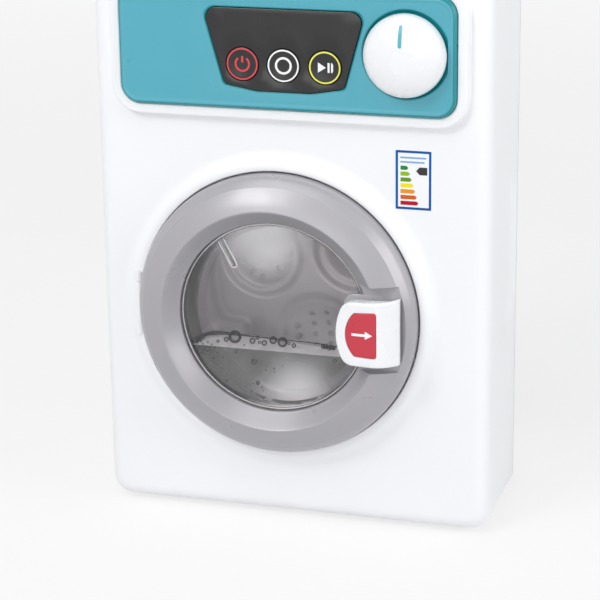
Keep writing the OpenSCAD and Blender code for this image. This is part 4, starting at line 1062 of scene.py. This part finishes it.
# Bubbles as places in the picture and a radius: some float, some cling to the back of the lens
FLOATING = (
    (235, 336.8, 3.1), (226.3, 339.3, 1.2), (252.5, 340.8, 1.45), (257.5, 337.7, 1.0), (264.3, 343, 1.35),
    (259.4, 342.4, 0.8), (273.2, 340.2, 1.85), (282.5, 342.2, 2.4), (288.9, 343.6, 0.75), (293.8, 345.5, 1.1),
    (323, 346.5, 1.1), (327, 345, 1.3), (331.5, 346.6, 1.2), (335.5, 345.6, 1.1), (329, 349, 0.8),
    (218, 341, 0.8))
CLINGING = (
    (199, 351.3, 1.9), (206.3, 349.3, 1.7), (193.6, 347, 1.0), (196.6, 343.6, 0.7), (191.2, 352.2, 0.8),
    (202.5, 345.2, 0.7), (211.4, 345, 0.5), (214.5, 347.5, 0.45), (190.6, 344.4, 0.6), (193.2, 341.2, 0.5),
    (197.6, 340.6, 0.6), (200.6, 341.8, 0.5), (188.9, 348.6, 0.5), (195.2, 349.8, 0.6), (203.4, 354.4, 0.6),
    (196.4, 357.2, 0.5), (207.4, 342.4, 0.45), (235.8, 352.2, 1.0), (253.5, 362.8, 1.5), (226.3, 381.3, 0.8),
    (257.3, 383.5, 1.0), (251.3, 391.8, 0.55), (273.8, 368.8, 0.5), (274.3, 372, 0.45), (265.8, 370.3, 0.45),
    (282, 366.3, 0.4), (334.3, 361.5, 1.05), (235.5, 398.5, 0.75), (261.8, 387.5, 0.4), (244, 345.6, 0.5),
    (217.5, 352.8, 0.35), (223, 357.5, 0.35), (212.5, 358.4, 0.4), (229.6, 361.5, 0.35), (246, 386.4, 0.4),
    (263, 391, 0.35), (252.6, 383.6, 0.35))


def bubbles():
    shape = Shape()
    for px, py, r in FLOATING:
        p = seen_at(px, py, 2, DOOR_Z + WATER_Z + 0.95 * r)
        p.y = min(p.y, FRONT_Y + bowl_inner(p.x - DOOR_X, p.z - DOOR_Z) - 0.4 - r)
        ball(shape, p, r)
    for px, py, r in CLINGING:
        p = seen_at(px, py, 1, FRONT_Y - 7.2)
        ball(shape, (p.x, FRONT_Y - 7.25 + r, p.z), r)
    piece("water_bubbles", shape, "door", "bubble", sharp=80)


bubbles()


# Drum

def drum():
    wall, front, face, corner = 49.9, 15.7, 50.0, 3
    dishes, dish_at = (37.0, 157.0, 277.0), 27
    hole_r, hole_in, n = 1.62, 1.45, 288

    def swell(i):
        """How much of a paddle there is at this step round the drum, from 0 to 1."""
        gaps = [abs((360 * i / n - t - 60 + 180) % 360 - 180) * pi / 180 * wall for t in dishes]
        return max(1 - step(1.6, 12.0, s) for s in gaps)

    def loop(d):
        over = max(0.0, d - face + corner)
        inset = corner - sqrt(corner ** 2 - over ** 2)
        out = []
        for i in range(n):
            a = radians(360 * i / n)
            r = wall - inset - 9.0 * swell(i) * step(front - 0.5, front + 9, d)
            out.append(polar(*DOOR, r, a))
        return out

    shape = Shape()
    depths = [front, 16.5, 17.5, 19, 20.5, 22, 23.5, 25, 28, 32, 36, 40, 44, 47, 48, 48.8, 49.4, 49.8, face]
    shape.strip([at_depth(loop(d), d) for d in depths])
    spots = []
    for t in dishes:
        c, s = cos(radians(t)), sin(radians(t))
        spots += [(DOOR_X + (dish_at + row) * c - side * s, DOOR_Z + (dish_at + row) * s + side * c)
                  for row in (-9, -3.5, 2, 7.5) for side in (-11.4, -3.8, 3.8, 11.4)
                  if hypot(row, side) < 13]

    def depth(x, z):
        d = face
        for t in dishes:
            a = radians(t)
            r = hypot(x - DOOR_X - dish_at * cos(a), z - DOOR_Z - dish_at * sin(a))
            d += 7.0 * (1 - step(7.0, 20.0, r)) + 0.9 * (1 - step(0, 12, r))
            d += 1.7 * step(14.6, 18.0, r) * (1 - step(18.0, 21.2, r))
        return d

    def place(x, z):
        hole = min(dist((x, z), s) for s in spots)
        return (x, FRONT_Y + depth(x, z) + (1.3 if hole < 1.5 else 0.0), z)

    rings = [circle(*s, r, 16) for s in spots for r in (hole_r, hole_in)]
    shape.sheet(loop(face), [], place, spacing=1.25, lines=rings)
    rims = Shape()
    for u, v in spots:
        rows = [(hole_r + 0.26 * cos(a), 0.2 * sin(a)) for a in turn(6)]
        rims.strip([at_depth([polar(u, v, r, a) for a in turn(24)], lambda x, z, dd=dd: depth(x, z) + dd)
                    for r, dd in rows + rows[:1]])
    piece("drum_drain_rims", rims, "drum", "drum_back", sharp=80)
    piece("drum_liner", shape, "drum", "drum", "drum_back_plate drum_paddles", sharp=50)


drum()


# CAD nodes that stay

STAYING = {
    "white": "rear_shell battery_cover hinge_bracket",
    "rubber": "foot_pads",
    "steel": "case_screws board_screws tub_screws bracket_screws door_screws spindle_screw cover_screw "
             "hinge_pin catch_spring contact_springs motor_bracket motor drum_shaft motor_shaft knob_clip",
    "dark_steel": "motor_screws shaft_clip",
    "board": "circuit_board",
    "switch_black": "tact_switches",
    "switch_grey": "dial_switch",
    "paper": "info_label",
    "frame": "door_frame latch_spindle latch_cam",
    "tub": "tub",
    "bronze": "bearing_bush",
    "dark": "battery_box",
    "cell": "battery_cells",
    "speaker": "speaker",
    "drum_back": "drum_barrel",
    "ivory": "drum_gear motor_pinion",
    "seal": "window_seal",
}
for paint, names in STAYING.items():
    for name in names.split():
        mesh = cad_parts[name].data
        mesh.materials.clear()
        mesh.materials.append(M[paint])


# Floor, light and camera

def pale_rays(tree):
    """1 for the camera's own rays and those that pass through glass or off a gloss, else 0."""
    through = maths(tree, "MAXIMUM", ray(tree, "Camera"), ray(tree, "Transmission"))
    return maths(tree, "MAXIMUM", through, ray(tree, "Glossy"))


def stage():
    half = 3.0
    mesh = bpy.data.meshes.new("floor")
    corners = box_ring(-half, -half, half, half)
    mesh.from_pydata([(x, y, 0) for x, y in corners], [], [(0, 1, 2, 3)])
    material, tree = new_material("floor_pale")
    diffuse = put(tree, "BsdfDiffuse", {"Color": (0.86, 0.86, 0.87, 1)})
    glow = put(tree, "Emission", {"Strength": 1.0})
    # Pure white far from the toy, so that no horizon shows
    away = put(tree, "VectorMath", {0: placed(tree)}, "Value", operation="LENGTH")
    share = maths(tree, "MULTIPLY", pale_rays(tree), ranged(tree, away, 0.74, 1.0, 0.5, 2.2))
    mesh.materials.append(finished(material, blend(tree, share, diffuse, glow)))
    linked("floor", mesh)

    world = bpy.data.worlds.new("studio")
    bpy.context.scene.world = world
    world.use_nodes = True
    tree = world.node_tree
    tree.nodes.clear()
    ambient = put(tree, "Background", {"Color": (0.98, 0.985, 1.0, 1), "Strength": AMBIENT})
    white = put(tree, "Background", {"Color": (1, 1, 1, 1)})
    put(tree, "OutputWorld", {"Surface": blend(tree, pale_rays(tree), ambient, white)})


def lamp(name, place, aim_z, size_x, size_y, power):
    data = bpy.data.lights.new(name, "AREA")
    data.shape = "RECTANGLE"
    data.size, data.size_y, data.energy = size_x, size_y, power
    obj = linked(name, data)
    obj.location = place
    obj.rotation_mode = "QUATERNION"
    obj.rotation_quaternion = (Vector((0, 0, aim_z)) - Vector(place)).to_track_quat("-Z", "Y")


def camera():
    side, top, back = camera_axes()
    data = bpy.data.cameras.new("camera")
    data.sensor_width = SENSOR
    data.lens = SENSOR * FOCUS / PICTURE
    data.clip_start, data.clip_end = 0.05, 20.0
    obj = linked("camera", data)
    place = CAMERA * MM
    obj.matrix_world = Matrix(((side.x, top.x, back.x, place.x), (side.y, top.y, back.y, place.y),
                               (side.z, top.z, back.z, place.z), (0, 0, 0, 1)))
    bpy.context.scene.camera = obj


stage()
lamp("key_top", (-0.3, -0.5, 1.5), 0.12, 1.2, 0.9, 6.6)
lamp("gloss_left", (-0.6, -1.15, 1.15), 0.12, 0.6, 0.5, 9.0)
lamp("fill_front", (0.0, -1.8, 0.5), 0.1, 1.2, 0.9, 5.5)
lamp("side_right", (1.4, -0.3, 0.6), 0.12, 0.9, 1.0, 10.0)
camera()
bpy.context.scene.view_settings.view_transform = "Standard"
